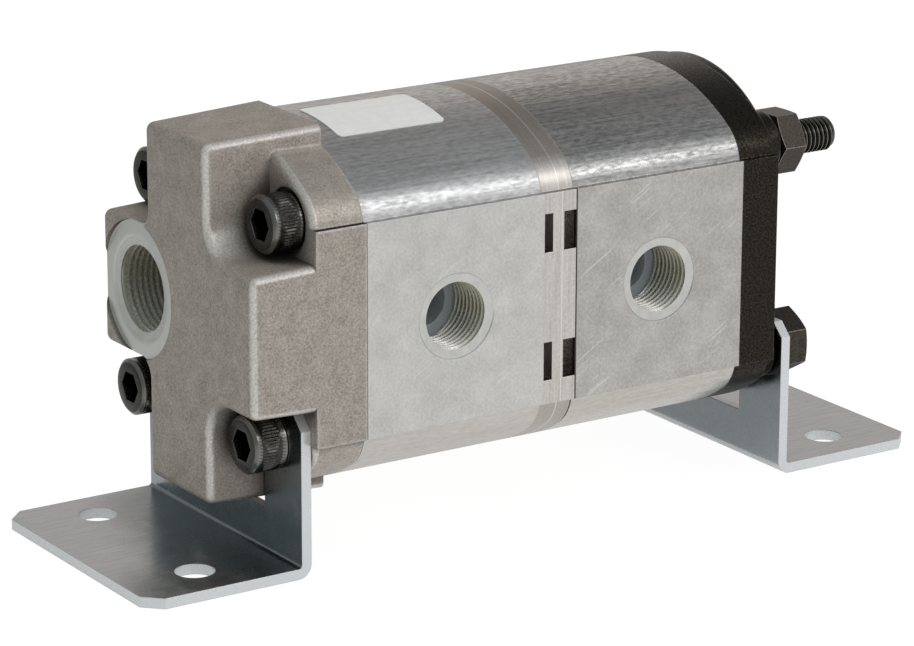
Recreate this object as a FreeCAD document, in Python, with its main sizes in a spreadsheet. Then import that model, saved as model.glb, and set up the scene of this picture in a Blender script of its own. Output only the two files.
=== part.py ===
import FreeCAD, Part
import math
import os
import Sketcher
from FreeCAD import Rotation, Vector

# Gear flow divider: two gear sections in line, fed by one inlet, on two bent sheet feet.
# The origin is the centre of the four foot holes on the underside of the feet.
# +X runs from the inlet cover to the end cover, the outlets face -Y, +Z is up.
# Heights and widths of the castings are measured from the line half way between the gears.

SIZES = {
    # Stack of castings along X
    "axis_height": 67.0,
    "cover_depth": 35.5,
    "cover_flange": 15.7,
    "body_length": 57.0,
    "plate_length": 10.4,
    "end_plate": 12.4,
    "end_layer": 5.5,
    # Outline that all castings share
    "bolt_y": 30.75,
    "bolt_z": 30.0,
    "corner_y": 29.8,
    "corner_z": 27.5,
    "corner_radius": 13.5,
    "crown_rise": 9.4,
    "land_rise": 1.65,
    "land_half": 30.0,
    "edge_round": 0.6,
    # Dome on the end cover and the seats for the nuts that stand out of it
    "dome_corner_y": 26.8,
    "dome_corner_z": 24.9,
    "dome_corner_radius": 12.0,
    "dome_inset": 0.15,
    "dome_round": 2.0,
    "seat_radius": 9.5,
    "seat_rise": 1.0,
    # Raised part of the inlet cover, at its front; the draft widens it towards the joint
    "spine_near": 20.75,
    "spine_far": 11.3,
    "spine_top_rise": 0.5,
    "spine_bottom_gap": 1.2,
    "cast_draft": 1.3,
    "shoulder_top": 20.0,
    "shoulder_bottom": 19.2,
    "boss_side": 36.0,
    "boss_top": 21.2,
    "boss_bottom": 16.7,
    "pocket_round": 10.0,
    "boss_round": 5.0,
    "cast_round": 2.3,
    "flange_round": 2.2,
    # Ports
    "inlet_y": 17.4,
    "inlet_z": 2.3,
    "inlet_radius": 13.22,
    "inlet_chamfer": 1.78,
    "inlet_thread": 16.0,
    "spotface_radius": 19.5,
    "spotface_depth": 1.2,
    "outlet_radius": 10.48,
    "outlet_chamfer": 1.7,
    "outlet_thread": 15.0,
    "outlet_drill": 7.0,
    "gallery_radius": 7.2,
    "gallery_wall": 0.85,
    # Gears and what carries them
    "gear_offset": 19.0,
    "tooth_count": 12.0,
    "pressure_angle": 25.0,
    "addendum": 2.9,
    "dedendum": 3.4,
    "flank_play": 0.12,
    "tip_gap": 0.2,
    "journal_radius": 8.5,
    "journal_play": 0.04,
    "bush_wall": 1.46,
    "bush_inset": 0.25,
    "block_length": 18.3,
    "block_play": 0.05,
    "block_gap": 0.2,
    "face_play": 0.1,
    "shaft_end_gap": 1.0,
    # Drive coupling between the two sections
    "coupling_wall": 1.2,
    "coupling_play": 0.5,
    "tang_width": 6.0,
    "tang_play": 0.1,
    "tang_gap": 2.8,
    # Seals
    "seal_offset": 3.1,
    "seal_width": 2.0,
    "seal_depth": 1.5,
    "seal_play": 0.15,
    "block_seal_inset": 2.6,
    "block_seal_width": 2.2,
    "block_seal_edge": 2.0,
    # Windows through the sides of the middle plate
    "window_depth": 10.0,
    "window_low": 12.8,
    "window_high": 23.7,
    "window_shift": 0.6,
    "front_window": 2.8,
    "rear_window": 4.0,
    # Dowels
    "dowel_radius": 2.5,
    "dowel_reach": 4.0,
    "dowel_edge": 8.45,
    "dowel_z": 6.0,
    # Tie bolts and nuts
    "shank_radius": 5.0,
    "bolt_clearance": 0.5,
    "head_radius": 8.0,
    "head_length": 10.0,
    "head_chamfer": 0.7,
    "head_seat_radius": 9.0,
    "head_seat_depth": 1.2,
    "washer_radius": 8.0,
    "washer_thickness": 2.1,
    "washer_play": 0.2,
    "socket_flats": 8.0,
    "socket_depth": 5.5,
    "upper_standout": 14.3,
    "lower_standout": 0.1,
    "tip_chamfer": 1.0,
    "nut_flats": 17.0,
    "nut_length": 8.4,
    "nut_chamfer": 1.1,
    "nut_play": 0.05,
    # Sheet feet
    "sheet": 3.0,
    "foot_length": 47.0,
    "foot_hole_x": 25.0,
    "foot_hole_y": 27.2,
    "foot_hole_radius": 5.5,
    "foot_corner": 5.0,
    "bend_inside": 1.0,
    "ear_gap": 1.0,
    "notch_play": 0.1,
    "ear_edge": 10.75,
    "ear_rise": 8.3,
    "ear_corner": 4.0,
    "notch_gap": 1.7,
    # Blank plate stuck on the front body
    "label_start": 7.0,
    "label_length": 34.0,
    "label_near": 20.0,
    "label_far": 1.5,
    "label_thickness": 0.25,
    "label_corner": 1.5,
}

TOLERANCE = 1e-6
HALF_TURN = 180.0
QUARTER_TURN = 90.0
FLANK_POINTS = 9
# Turn that carries local Z onto X
ALONG_X = Rotation(Vector(0, 1, 0), QUARTER_TURN)

DOCUMENT = FreeCAD.newDocument("gear_flow_divider")
SHEET = DOCUMENT.addObject("Spreadsheet::Sheet", "Sizes")
NODES = []


def fill_sheet():
    """Write each driving size into the sheet, with its name beside it and as its alias."""
    for row, (alias, value) in enumerate(SIZES.items(), start=1):
        SHEET.set(f"A{row}", alias)
        SHEET.set(f"B{row}", str(value))
        SHEET.setAlias(f"B{row}", alias)
    DOCUMENT.recompute()


fill_sheet()


def number(expression):
    """Value of an expression that names cells of the sheet."""
    return float(SHEET.evalExpression(str(expression)))


# Places along X, as expressions of the sheet
STACK = "(2 * Sizes.body_length + Sizes.plate_length + Sizes.end_plate + Sizes.end_layer)"
X_FRONT = f"((Sizes.cover_flange - {STACK}) / 2)"
X_PLATE = f"({X_FRONT} + Sizes.body_length)"
X_REAR = f"({X_PLATE} + Sizes.plate_length)"
X_END = f"({X_REAR} + Sizes.body_length)"
X_SEAT = f"({X_END} + Sizes.end_plate + Sizes.end_layer)"
X_HEADS = f"({X_FRONT} - Sizes.cover_flange)"
AXIS = "Sizes.axis_height"
UPPER = f"({AXIS} + Sizes.gear_offset)"
LOWER = f"({AXIS} - Sizes.gear_offset)"
GEAR_START = "(Sizes.block_gap + Sizes.block_length + Sizes.face_play)"
GEAR_LENGTH = f"(Sizes.body_length - 2 * {GEAR_START})"

# Sizes that follow from others, from the line half way between the gears
CROWN = "(Sizes.corner_z + Sizes.corner_radius + Sizes.crown_rise)"
LAND = "(Sizes.corner_y + Sizes.corner_radius + Sizes.land_rise)"
SPINE_TOP = f"({CROWN} + Sizes.spine_top_rise)"
SPINE_BOTTOM = f"(Sizes.spine_bottom_gap - {CROWN})"
TIP = "(Sizes.gear_offset + Sizes.addendum)"
CHAMBER = f"({TIP} + Sizes.tip_gap)"
SEAL_RING = f"({CHAMBER} + Sizes.seal_offset)"
BLOCK_SEAL = f"({CHAMBER} - Sizes.block_seal_inset)"
GALLERY = (f"({SEAL_RING} - Sizes.seal_width / 2 - Sizes.seal_play"
           " - Sizes.gallery_wall - Sizes.gallery_radius)")
DOWEL = f"({LAND} - Sizes.dowel_edge)"
BUSH = "(Sizes.journal_radius + Sizes.journal_play + Sizes.bush_wall)"
BUSH_LENGTH = "(Sizes.block_length - 2 * Sizes.bush_inset)"
SLEEVE = "(Sizes.journal_radius + Sizes.tang_play + Sizes.coupling_wall)"
SLEEVE_LENGTH = "(Sizes.plate_length - 2 * Sizes.coupling_play)"
TANG = "((Sizes.plate_length - Sizes.tang_gap) / 2)"
FOOT_SIDE = "(Sizes.bolt_y + Sizes.ear_edge)"
EAR_TOP = "(Sizes.ear_rise - Sizes.bolt_z)"


def bind(item, **expressions):
    """Tie properties of an object to expressions of the sheet."""
    for name, expression in expressions.items():
        item.setExpression(name, str(expression))
    return item


def place(item, across="0", along="0", up="0", turn=None):
    """Put an object at three expressions, turned if asked."""
    if turn is not None:
        item.Placement = FreeCAD.Placement(Vector(), turn)
    item.setExpression("Placement.Base.x", str(across))
    item.setExpression("Placement.Base.y", str(along))
    item.setExpression("Placement.Base.z", str(up))
    return item


def node(item, label):
    """Count an object as a sub-part under its name."""
    item.Label = label
    NODES.append(item)
    return item


# Sketch helpers


def new_sketch(body, role, name, offset=None):
    """Sketch on one of the body's own planes, moved along the plane's normal if asked."""
    sketch = body.newObject("Sketcher::SketchObject", name)
    plane = next(item for item in body.Origin.OriginFeatures if item.Role == role)
    sketch.AttachmentSupport = [(plane, "")]
    sketch.MapMode = "FlatFace"
    if offset is not None:
        sketch.setExpression("AttachmentOffset.Base.z", offset)
    return sketch


def locate(sketch, kind, geometry, point, expression):
    """Fix one coordinate of a point, measured from the sketch's origin."""
    value = number(expression)
    if abs(value) < TOLERANCE:
        axis = -2 if kind == "DistanceX" else -1
        sketch.addConstraint(Sketcher.Constraint("PointOnObject", geometry, point, axis))
        return
    if value > 0:
        ends = (-1, 1, geometry, point)
        bound = expression
    else:
        ends = (geometry, point, -1, 1)
        bound = f"-({expression})"
    index = sketch.addConstraint(Sketcher.Constraint(kind, *ends, abs(value)))
    sketch.setExpression(f"Constraints[{index}]", bound)


def set_radius(sketch, geometry, expression):
    """Fix the radius of a circle or arc."""
    index = sketch.addConstraint(Sketcher.Constraint("Radius", geometry, number(expression)))
    sketch.setExpression(f"Constraints[{index}]", str(expression))


def add_circle(sketch, across, up, radius):
    """Full circle about a point given by two expressions."""
    centre = Vector(number(across), number(up), 0)
    circle = sketch.addGeometry(Part.Circle(centre, Vector(0, 0, 1), number(radius)))
    locate(sketch, "DistanceX", circle, 3, across)
    locate(sketch, "DistanceY", circle, 3, up)
    set_radius(sketch, circle, radius)


def add_arc(sketch, centre, radius, start, end):
    """Arc about a centre, anticlockwise between two angles in radians."""
    circle = Part.Circle(centre, Vector(0, 0, 1), radius)
    return sketch.addGeometry(Part.ArcOfCircle(circle, start, end))


def add_line(sketch, start, end):
    """Straight edge."""
    return sketch.addGeometry(Part.LineSegment(start, end))


def join(sketch, first, second, kind="Coincident"):
    """Join the ends of two edges, each given as geometry and point."""
    sketch.addConstraint(Sketcher.Constraint(kind, *first, *second))


def corner_arc(sketch, point, before, after, radius):
    """Arc that rounds a square corner; returns it with its ends in the order of travel."""
    arrive = (point - before).normalize()
    leave = (after - point).normalize()
    centre = point - arrive * radius + leave * radius
    first = -leave
    turning_left = arrive.x * leave.y - arrive.y * leave.x > 0
    start = math.atan2(first.y, first.x)
    if turning_left:
        arc = add_arc(sketch, centre, radius, start, start + math.pi / 2)
        return arc, 1, 2
    arc = add_arc(sketch, centre, radius, start - math.pi / 2, start)
    return arc, 2, 1


def add_outline(sketch, corners):
    """Closed outline through corners given as (across, up) or (across, up, radius)."""
    points = [Vector(number(corner[0]), number(corner[1]), 0) for corner in corners]
    radii = [corner[2] if len(corner) > 2 else None for corner in corners]
    count = len(points)
    lines = []
    for index in range(count):
        start = points[index]
        end = points[(index + 1) % count]
        way = (end - start).normalize()
        first = start + way * (number(radii[index]) if radii[index] else 0)
        last = end - way * (number(radii[(index + 1) % count]) if radii[(index + 1) % count] else 0)
        lines.append(add_line(sketch, first, last))
    level = [abs(points[i].y - points[(i + 1) % count].y) < TOLERANCE for i in range(count)]
    upright = [abs(points[i].x - points[(i + 1) % count].x) < TOLERANCE for i in range(count)]
    for index in range(count):
        line = lines[index]
        if level[index]:
            sketch.addConstraint(Sketcher.Constraint("Horizontal", line))
            locate(sketch, "DistanceY", line, 1, corners[index][1])
        elif upright[index]:
            sketch.addConstraint(Sketcher.Constraint("Vertical", line))
            locate(sketch, "DistanceX", line, 1, corners[index][0])
    for index in range(count):
        before = index - 1
        if radii[index]:
            arc, first, last = corner_arc(
                sketch, points[index], points[before], points[(index + 1) % count], number(radii[index]))
            join(sketch, (lines[before], 2), (arc, first), "Tangent")
            join(sketch, (arc, last), (lines[index], 1), "Tangent")
            set_radius(sketch, arc, radii[index])
            continue
        join(sketch, (lines[before], 2), (lines[index], 1))
        if not level[before] and not level[index]:
            locate(sketch, "DistanceY", lines[index], 1, corners[index][1])
        if not upright[before] and not upright[index]:
            locate(sketch, "DistanceX", lines[index], 1, corners[index][0])


def add_figure_eight(sketch, radius):
    """Outline of two overlapping circles about the gear axes."""
    offset = number("Sizes.gear_offset")
    size = number(radius)
    dip = math.asin(offset / size)
    upper = add_arc(sketch, Vector(0, offset, 0), size, -dip, math.pi + dip)
    lower = add_arc(sketch, Vector(0, -offset, 0), size, math.pi - dip, 2 * math.pi + dip)
    for arc, height in ((upper, "Sizes.gear_offset"), (lower, "-Sizes.gear_offset")):
        locate(sketch, "DistanceX", arc, 3, "0")
        locate(sketch, "DistanceY", arc, 3, height)
        set_radius(sketch, arc, radius)
    join(sketch, (upper, 1), (lower, 2))
    join(sketch, (upper, 2), (lower, 1))


def add_ring_path(sketch, radius):
    """Long round-ended outline about both gear axes."""
    offset = number("Sizes.gear_offset")
    size = number(radius)
    top = add_arc(sketch, Vector(0, offset, 0), size, 0, math.pi)
    bottom = add_arc(sketch, Vector(0, -offset, 0), size, math.pi, 2 * math.pi)
    left = add_line(sketch, Vector(-size, offset, 0), Vector(-size, -offset, 0))
    right = add_line(sketch, Vector(size, -offset, 0), Vector(size, offset, 0))
    for arc, height in ((top, "Sizes.gear_offset"), (bottom, "-Sizes.gear_offset")):
        locate(sketch, "DistanceX", arc, 3, "0")
        locate(sketch, "DistanceY", arc, 3, height)
        set_radius(sketch, arc, radius)
    join(sketch, (top, 2), (left, 1), "Tangent")
    join(sketch, (left, 2), (bottom, 1), "Tangent")
    join(sketch, (bottom, 2), (right, 1), "Tangent")
    join(sketch, (right, 2), (top, 1), "Tangent")


def crown_radius(name, crown):
    """Radius of the arch that runs tangent over two corner arcs up to the crown."""
    across = f"Sizes.{name}_y"
    corner = f"Sizes.{name}_radius"
    drop = f"(Sizes.{name}_z - {crown})"
    return f"(({across} ^ 2 + {drop} ^ 2 - {corner} ^ 2) / (-2 * ({corner} + {drop})))"


def add_arched_outline(sketch, name, crown, land=None):
    """Outline of four named corner arcs and two arches, with flat lands beside them if asked."""
    across = number(f"Sizes.{name}_y")
    up = number(f"Sizes.{name}_z")
    round_size = number(f"Sizes.{name}_radius")
    arch = crown_radius(name, crown)
    arch_size = number(arch)
    middle = number(crown) - arch_size
    lean = math.atan2(up - middle, across)
    rise = 0.0 if land is None else number("Sizes.land_half") - up
    start_turn = math.asin(rise / round_size)
    turns = {
        (1, 1): (start_turn, lean),
        (-1, 1): (math.pi - lean, math.pi - start_turn),
        (-1, -1): (math.pi + start_turn, math.pi + lean),
        (1, -1): (2 * math.pi - lean, 2 * math.pi - start_turn),
    }
    arcs = {}
    for (side, level), (start, end) in turns.items():
        arc = add_arc(sketch, Vector(side * across, level * up, 0), round_size, start, end)
        locate(sketch, "DistanceX", arc, 3, f"{side} * Sizes.{name}_y")
        locate(sketch, "DistanceY", arc, 3, f"{level} * Sizes.{name}_z")
        set_radius(sketch, arc, f"Sizes.{name}_radius")
        arcs[side, level] = arc
    top = add_arc(sketch, Vector(0, middle, 0), arch_size, lean, math.pi - lean)
    bottom = add_arc(sketch, Vector(0, -middle, 0), arch_size, math.pi + lean, 2 * math.pi - lean)
    join(sketch, (arcs[1, 1], 2), (top, 1), "Tangent")
    join(sketch, (top, 2), (arcs[-1, 1], 1), "Tangent")
    join(sketch, (arcs[-1, -1], 2), (bottom, 1), "Tangent")
    join(sketch, (bottom, 2), (arcs[1, -1], 1), "Tangent")
    set_radius(sketch, top, arch)
    set_radius(sketch, bottom, arch)
    for side in (-1, 1):
        edge = side * (across + round_size * math.cos(start_turn))
        ends = ((arcs[side, -side], 2), (arcs[side, side], 1))
        low = Vector(edge, -side * (up + rise), 0)
        high = Vector(edge, side * (up + rise), 0)
        if land is None:
            line = add_line(sketch, low, high)
            join(sketch, ends[0], (line, 1), "Tangent")
            join(sketch, (line, 2), ends[1], "Tangent")
            continue
        face = side * number(land)
        first = add_line(sketch, low, Vector(face, low.y, 0))
        flat = add_line(sketch, Vector(face, low.y, 0), Vector(face, high.y, 0))
        last = add_line(sketch, Vector(face, high.y, 0), high)
        join(sketch, ends[0], (first, 1))
        join(sketch, (first, 2), (flat, 1))
        join(sketch, (flat, 2), (last, 1))
        join(sketch, (last, 2), ends[1])
        sketch.addConstraint(Sketcher.Constraint("Horizontal", first))
        sketch.addConstraint(Sketcher.Constraint("Horizontal", last))
        sketch.addConstraint(Sketcher.Constraint("Vertical", flat))
        locate(sketch, "DistanceX", flat, 1, f"{side} * {land}")
        locate(sketch, "DistanceY", flat, 1, f"{-side} * Sizes.land_half")
        locate(sketch, "DistanceY", flat, 2, f"{side} * Sizes.land_half")


# Body helpers


def new_body(label, across, up=AXIS, along="0", turn=None):
    """Body whose own origin lies at the given place."""
    body = DOCUMENT.addObject("PartDesign::Body", label)
    return place(body, across, along, up, turn)


def pad(body, sketch, length, backwards=False, both=False):
    """Add material from a sketch along its normal, against it, or both ways."""
    feature = body.newObject("PartDesign::Pad", "Pad")
    feature.Profile = sketch
    feature.Reversed = backwards
    if both:
        feature.SideType = "Symmetric"
    return bind(feature, Length=length)


def pocket(body, sketch, length=None, forwards=True):
    """Cut along the sketch's normal or against it; with no length, all the way through."""
    feature = body.newObject("PartDesign::Pocket", "Pocket")
    feature.Profile = sketch
    feature.Reversed = forwards
    if length is None:
        feature.Type = "ThroughAll"
        return feature
    return bind(feature, Length=length)


def loft(body, first, last):
    """Add material with straight sides between two sketches with the same run of edges."""
    feature = body.newObject("PartDesign::AdditiveLoft", "Loft")
    feature.Profile = first
    feature.Sections = [last]
    feature.Ruled = True
    return feature


def revolve(body, sketch, kind="PartDesign::Revolution"):
    """Turn a sketch in the XY plane once around its own horizontal axis."""
    feature = body.newObject(kind, "Turned")
    feature.Profile = sketch
    feature.ReferenceAxis = (sketch, ["H_Axis"])
    feature.Angle = 2 * HALF_TURN
    return feature


def edges_where(feature, wanted):
    """Names of the edges of a feature that a test accepts."""
    return [f"Edge{i}" for i, edge in enumerate(feature.Shape.Edges, start=1) if wanted(edge)]


def soften(body, feature, kind, size, wanted):
    """Round or chamfer the chosen edges of the body's last feature."""
    DOCUMENT.recompute()
    softened = body.newObject(f"PartDesign::{kind}", kind)
    softened.Base = (feature, edges_where(feature, wanted))
    return bind(softened, **{"Radius" if kind == "Fillet" else "Size": size})


def corner_places(side_size, level_size):
    """The four places at plus and minus two sizes, as pairs of expressions."""
    return [(f"{side} * {side_size}", f"{level} * {level_size}")
            for side in (-1, 1) for level in (-1, 1)]


def cut_bolt_holes(body, start, length):
    """Four clearance holes for the tie bolts."""
    sketch = new_sketch(body, "YZ_Plane", "BoltHoles", start)
    for across, up in corner_places("Sizes.bolt_y", "Sizes.bolt_z"):
        add_circle(sketch, across, up, "Sizes.shank_radius + Sizes.bolt_clearance")
    return pocket(body, sketch, length)


def cut_dowel_holes(body, start, forwards):
    """Two holes that hold half of each dowel."""
    sketch = new_sketch(body, "YZ_Plane", "DowelHoles", start)
    for side in (-1, 1):
        add_circle(sketch, f"{side} * {DOWEL}", f"{side} * Sizes.dowel_z", "Sizes.dowel_radius")
    return pocket(body, sketch, "Sizes.dowel_reach", forwards)


def cut_seal_groove(body, start, forwards):
    """Groove for the face seal around the chambers and the gallery."""
    half = "(Sizes.seal_width / 2 + Sizes.seal_play)"
    sketch = new_sketch(body, "YZ_Plane", "SealGroove", start)
    add_ring_path(sketch, f"{SEAL_RING} + {half}")
    add_ring_path(sketch, f"{SEAL_RING} - {half}")
    return pocket(body, sketch, "Sizes.seal_depth", forwards)


# Castings


def add_raised_outline(sketch, draft):
    """Outline of spine, shoulder and port boss, wider all round by the draft."""
    near = f"(-Sizes.spine_near - {draft})"
    far = f"(Sizes.spine_far + {draft})"
    top = f"({SPINE_TOP} + {draft})"
    bottom = f"({SPINE_BOTTOM} - {draft})"
    shoulder_top = f"(Sizes.shoulder_top + {draft})"
    shoulder_bottom = f"(-Sizes.shoulder_bottom - {draft})"
    boss_top = f"(Sizes.boss_top + {draft})"
    boss_bottom = f"(-Sizes.boss_bottom - {draft})"
    boss_side = f"(Sizes.boss_side + {draft})"
    add_outline(sketch, [
        (near, top, "Sizes.cast_round"),
        (near, shoulder_top, "Sizes.pocket_round"),
        (f"-{LAND}", shoulder_top, "Sizes.cast_round"),
        (f"-{LAND}", shoulder_bottom, "Sizes.cast_round"),
        (near, shoulder_bottom, "Sizes.pocket_round"),
        (near, bottom, "Sizes.cast_round"),
        (far, bottom, "Sizes.cast_round"),
        (far, boss_bottom, "Sizes.boss_round"),
        (boss_side, boss_bottom, "Sizes.cast_round"),
        (boss_side, boss_top, "Sizes.cast_round"),
        (far, boss_top, "Sizes.boss_round"),
        (far, top, "Sizes.cast_round"),
    ])


def make_inlet_cover():
    """Cast inlet cover: flange, upright spine, shoulder, port boss and the inlet port."""
    body = new_body("inlet_cover", X_FRONT)
    flange = new_sketch(body, "YZ_Plane", "Flange")
    add_arched_outline(flange, "corner", CROWN, LAND)
    plate = pad(body, flange, "Sizes.cover_flange", backwards=True)
    rim_face = number("-Sizes.cover_flange")

    def on_rim(edge):
        return (isinstance(edge.Curve, Part.Circle)
                and all(abs(vertex.X - rim_face) < TOLERANCE for vertex in edge.Vertexes))

    soften(body, plate, "Fillet", "Sizes.flange_round", on_rim)
    root = new_sketch(body, "YZ_Plane", "RaisedRoot")
    add_raised_outline(root, "Sizes.cast_draft")
    front = new_sketch(body, "YZ_Plane", "RaisedFront", "-Sizes.cover_depth")
    add_raised_outline(front, "0")
    solid = loft(body, root, front)
    face = number("-Sizes.cover_depth")

    def on_end_face(edge):
        return all(abs(vertex.X - face) < TOLERANCE for vertex in edge.Vertexes)

    soften(body, solid, "Fillet", "Sizes.cast_round", on_end_face)
    spot = new_sketch(body, "YZ_Plane", "Spotface", "-Sizes.cover_depth")
    add_circle(spot, "Sizes.inlet_y", "Sizes.inlet_z", "Sizes.spotface_radius")
    pocket(body, spot, "Sizes.spotface_depth")
    seat = "(Sizes.spotface_depth - Sizes.cover_depth)"
    port = new_sketch(body, "YZ_Plane", "Port", seat)
    add_circle(port, "Sizes.inlet_y", "Sizes.inlet_z", "Sizes.inlet_radius")
    mouth = pocket(body, port, "Sizes.inlet_thread + Sizes.inlet_chamfer")
    rim = number(seat)
    radius = number("Sizes.inlet_radius")

    def on_port_rim(edge):
        return (abs(edge.BoundBox.XMin - rim) < TOLERANCE and abs(edge.BoundBox.XMax - rim) < TOLERANCE
                and isinstance(edge.Curve, Part.Circle) and abs(edge.Curve.Radius - radius) < TOLERANCE)

    soften(body, mouth, "Chamfer", "Sizes.inlet_chamfer", on_port_rim)
    gallery = new_sketch(body, "YZ_Plane", "Gallery")
    add_circle(gallery, GALLERY, "0", "Sizes.gallery_radius")
    pocket(body, gallery, f"-{seat} - Sizes.inlet_thread", forwards=False)
    seats = new_sketch(body, "YZ_Plane", "HeadSeats", "-Sizes.cover_flange")
    for side in (-1, 1):
        add_circle(seats, f"{side} * Sizes.bolt_y", "Sizes.bolt_z", "Sizes.head_seat_radius")
    pocket(body, seats, "Sizes.head_seat_depth")
    cut_bolt_holes(body, "-Sizes.cover_flange", "Sizes.cover_flange")
    cut_seal_groove(body, "0", forwards=False)
    cut_dowel_holes(body, "0", forwards=False)
    return node(body, "inlet_cover")


def make_section_body(label, start):
    """Gear housing: figure-eight chamber, gallery, bolt holes and the outlet port."""
    body = new_body(label, start)
    outline = new_sketch(body, "YZ_Plane", "Outline")
    add_arched_outline(outline, "corner", CROWN, LAND)
    pad(body, outline, "Sizes.body_length")
    chamber = new_sketch(body, "YZ_Plane", "Chamber")
    add_figure_eight(chamber, CHAMBER)
    pocket(body, chamber, "Sizes.body_length")
    gallery = new_sketch(body, "YZ_Plane", "Gallery")
    add_circle(gallery, GALLERY, "0", "Sizes.gallery_radius")
    pocket(body, gallery, "Sizes.body_length")
    cut_bolt_holes(body, "0", "Sizes.body_length")
    cut_dowel_holes(body, "0", forwards=True)
    cut_dowel_holes(body, "Sizes.body_length", forwards=False)
    drill = new_sketch(body, "XZ_Plane", "OutletDrill")
    add_circle(drill, "Sizes.body_length / 2", "0", "Sizes.outlet_drill")
    pocket(body, drill, LAND, forwards=True)
    port = new_sketch(body, "XZ_Plane", "OutletPort", LAND)
    add_circle(port, "Sizes.body_length / 2", "0", "Sizes.outlet_radius")
    mouth = pocket(body, port, "Sizes.outlet_thread + Sizes.outlet_chamfer", forwards=False)
    rim = number(f"-{LAND}")
    radius = number("Sizes.outlet_radius")

    def on_port_rim(edge):
        return (abs(edge.BoundBox.YMin - rim) < TOLERANCE and abs(edge.BoundBox.YMax - rim) < TOLERANCE
                and isinstance(edge.Curve, Part.Circle) and abs(edge.Curve.Radius - radius) < TOLERANCE)

    soften(body, mouth, "Chamfer", "Sizes.outlet_chamfer", on_port_rim)
    return node(body, label)


def make_middle_plate():
    """Plate between the sections: coupling bore, gallery, seal grooves and side windows."""
    body = new_body("middle_plate", X_PLATE)
    outline = new_sketch(body, "YZ_Plane", "Outline")
    add_arched_outline(outline, "corner", CROWN, LAND)
    pad(body, outline, "Sizes.plate_length")
    holes = new_sketch(body, "YZ_Plane", "Through")
    add_circle(holes, "0", "Sizes.gear_offset", f"{SLEEVE} + Sizes.coupling_play")
    add_circle(holes, GALLERY, "0", "Sizes.gallery_radius")
    pocket(body, holes, "Sizes.plate_length")
    cut_bolt_holes(body, "0", "Sizes.plate_length")
    cut_seal_groove(body, "0", forwards=True)
    cut_seal_groove(body, "Sizes.plate_length", forwards=False)
    cut_dowel_holes(body, "0", forwards=True)
    cut_dowel_holes(body, "Sizes.plate_length", forwards=False)
    for start, width, forwards in (("0", "Sizes.front_window", True),
                                   ("Sizes.plate_length", "Sizes.rear_window", False)):
        windows = new_sketch(body, "YZ_Plane", "Windows", start)
        for side in (-1, 1):
            outer = f"{side} * ({LAND} + Sizes.window_shift)"
            inner = f"{side} * ({LAND} - Sizes.window_depth)"
            for low, high in (("Sizes.window_low + Sizes.window_shift",
                               "Sizes.window_high + Sizes.window_shift"),
                              ("Sizes.window_shift - Sizes.window_high",
                               "Sizes.window_shift - Sizes.window_low")):
                add_outline(windows, [(outer, low), (inner, low), (inner, high), (outer, high)])
        pocket(body, windows, width, forwards)
    return node(body, "middle_plate")


def make_end_cover():
    """Cast end cover: full outline, a dome behind it and four round seats for the nuts."""
    body = new_body("end_cover", X_END)
    outline = new_sketch(body, "YZ_Plane", "Outline")
    add_arched_outline(outline, "corner", CROWN, LAND)
    plate = pad(body, outline, "Sizes.end_plate")
    back = number("Sizes.end_plate")

    def on_back_face(edge):
        return (isinstance(edge.Curve, Part.Circle)
                and all(abs(vertex.X - back) < TOLERANCE for vertex in edge.Vertexes))

    soften(body, plate, "Fillet", "Sizes.edge_round", on_back_face)
    height = "(Sizes.end_plate + Sizes.end_layer)"
    dome = new_sketch(body, "YZ_Plane", "Dome")
    add_arched_outline(dome, "dome_corner", f"({CROWN} - Sizes.dome_inset)")
    domed = pad(body, dome, f"{height} - Sizes.seat_rise")
    crest = number(f"{height} - Sizes.seat_rise")

    def on_dome_face(edge):
        return all(abs(vertex.X - crest) < TOLERANCE for vertex in edge.Vertexes)

    soften(body, domed, "Fillet", "Sizes.dome_round", on_dome_face)
    for side in (-1, 1):
        for level in (-1, 1):
            seat = new_sketch(body, "XY_Plane", "Seat", f"{level} * Sizes.bolt_z")
            seat.setExpression("AttachmentOffset.Base.y", f"{side} * Sizes.bolt_y")
            add_outline(seat, [
                ("0", "0"),
                (height, "0"),
                (height, "Sizes.seat_radius", "Sizes.dome_round"),
                ("0", "Sizes.seat_radius"),
            ])
            revolve(body, seat)
    cut_bolt_holes(body, "0", height)
    cut_seal_groove(body, "0", forwards=True)
    cut_dowel_holes(body, "0", forwards=True)
    return node(body, "end_cover")


# Gears


def involute(angle):
    """Involute of an angle in radians."""
    return math.tan(angle) - angle


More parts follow.
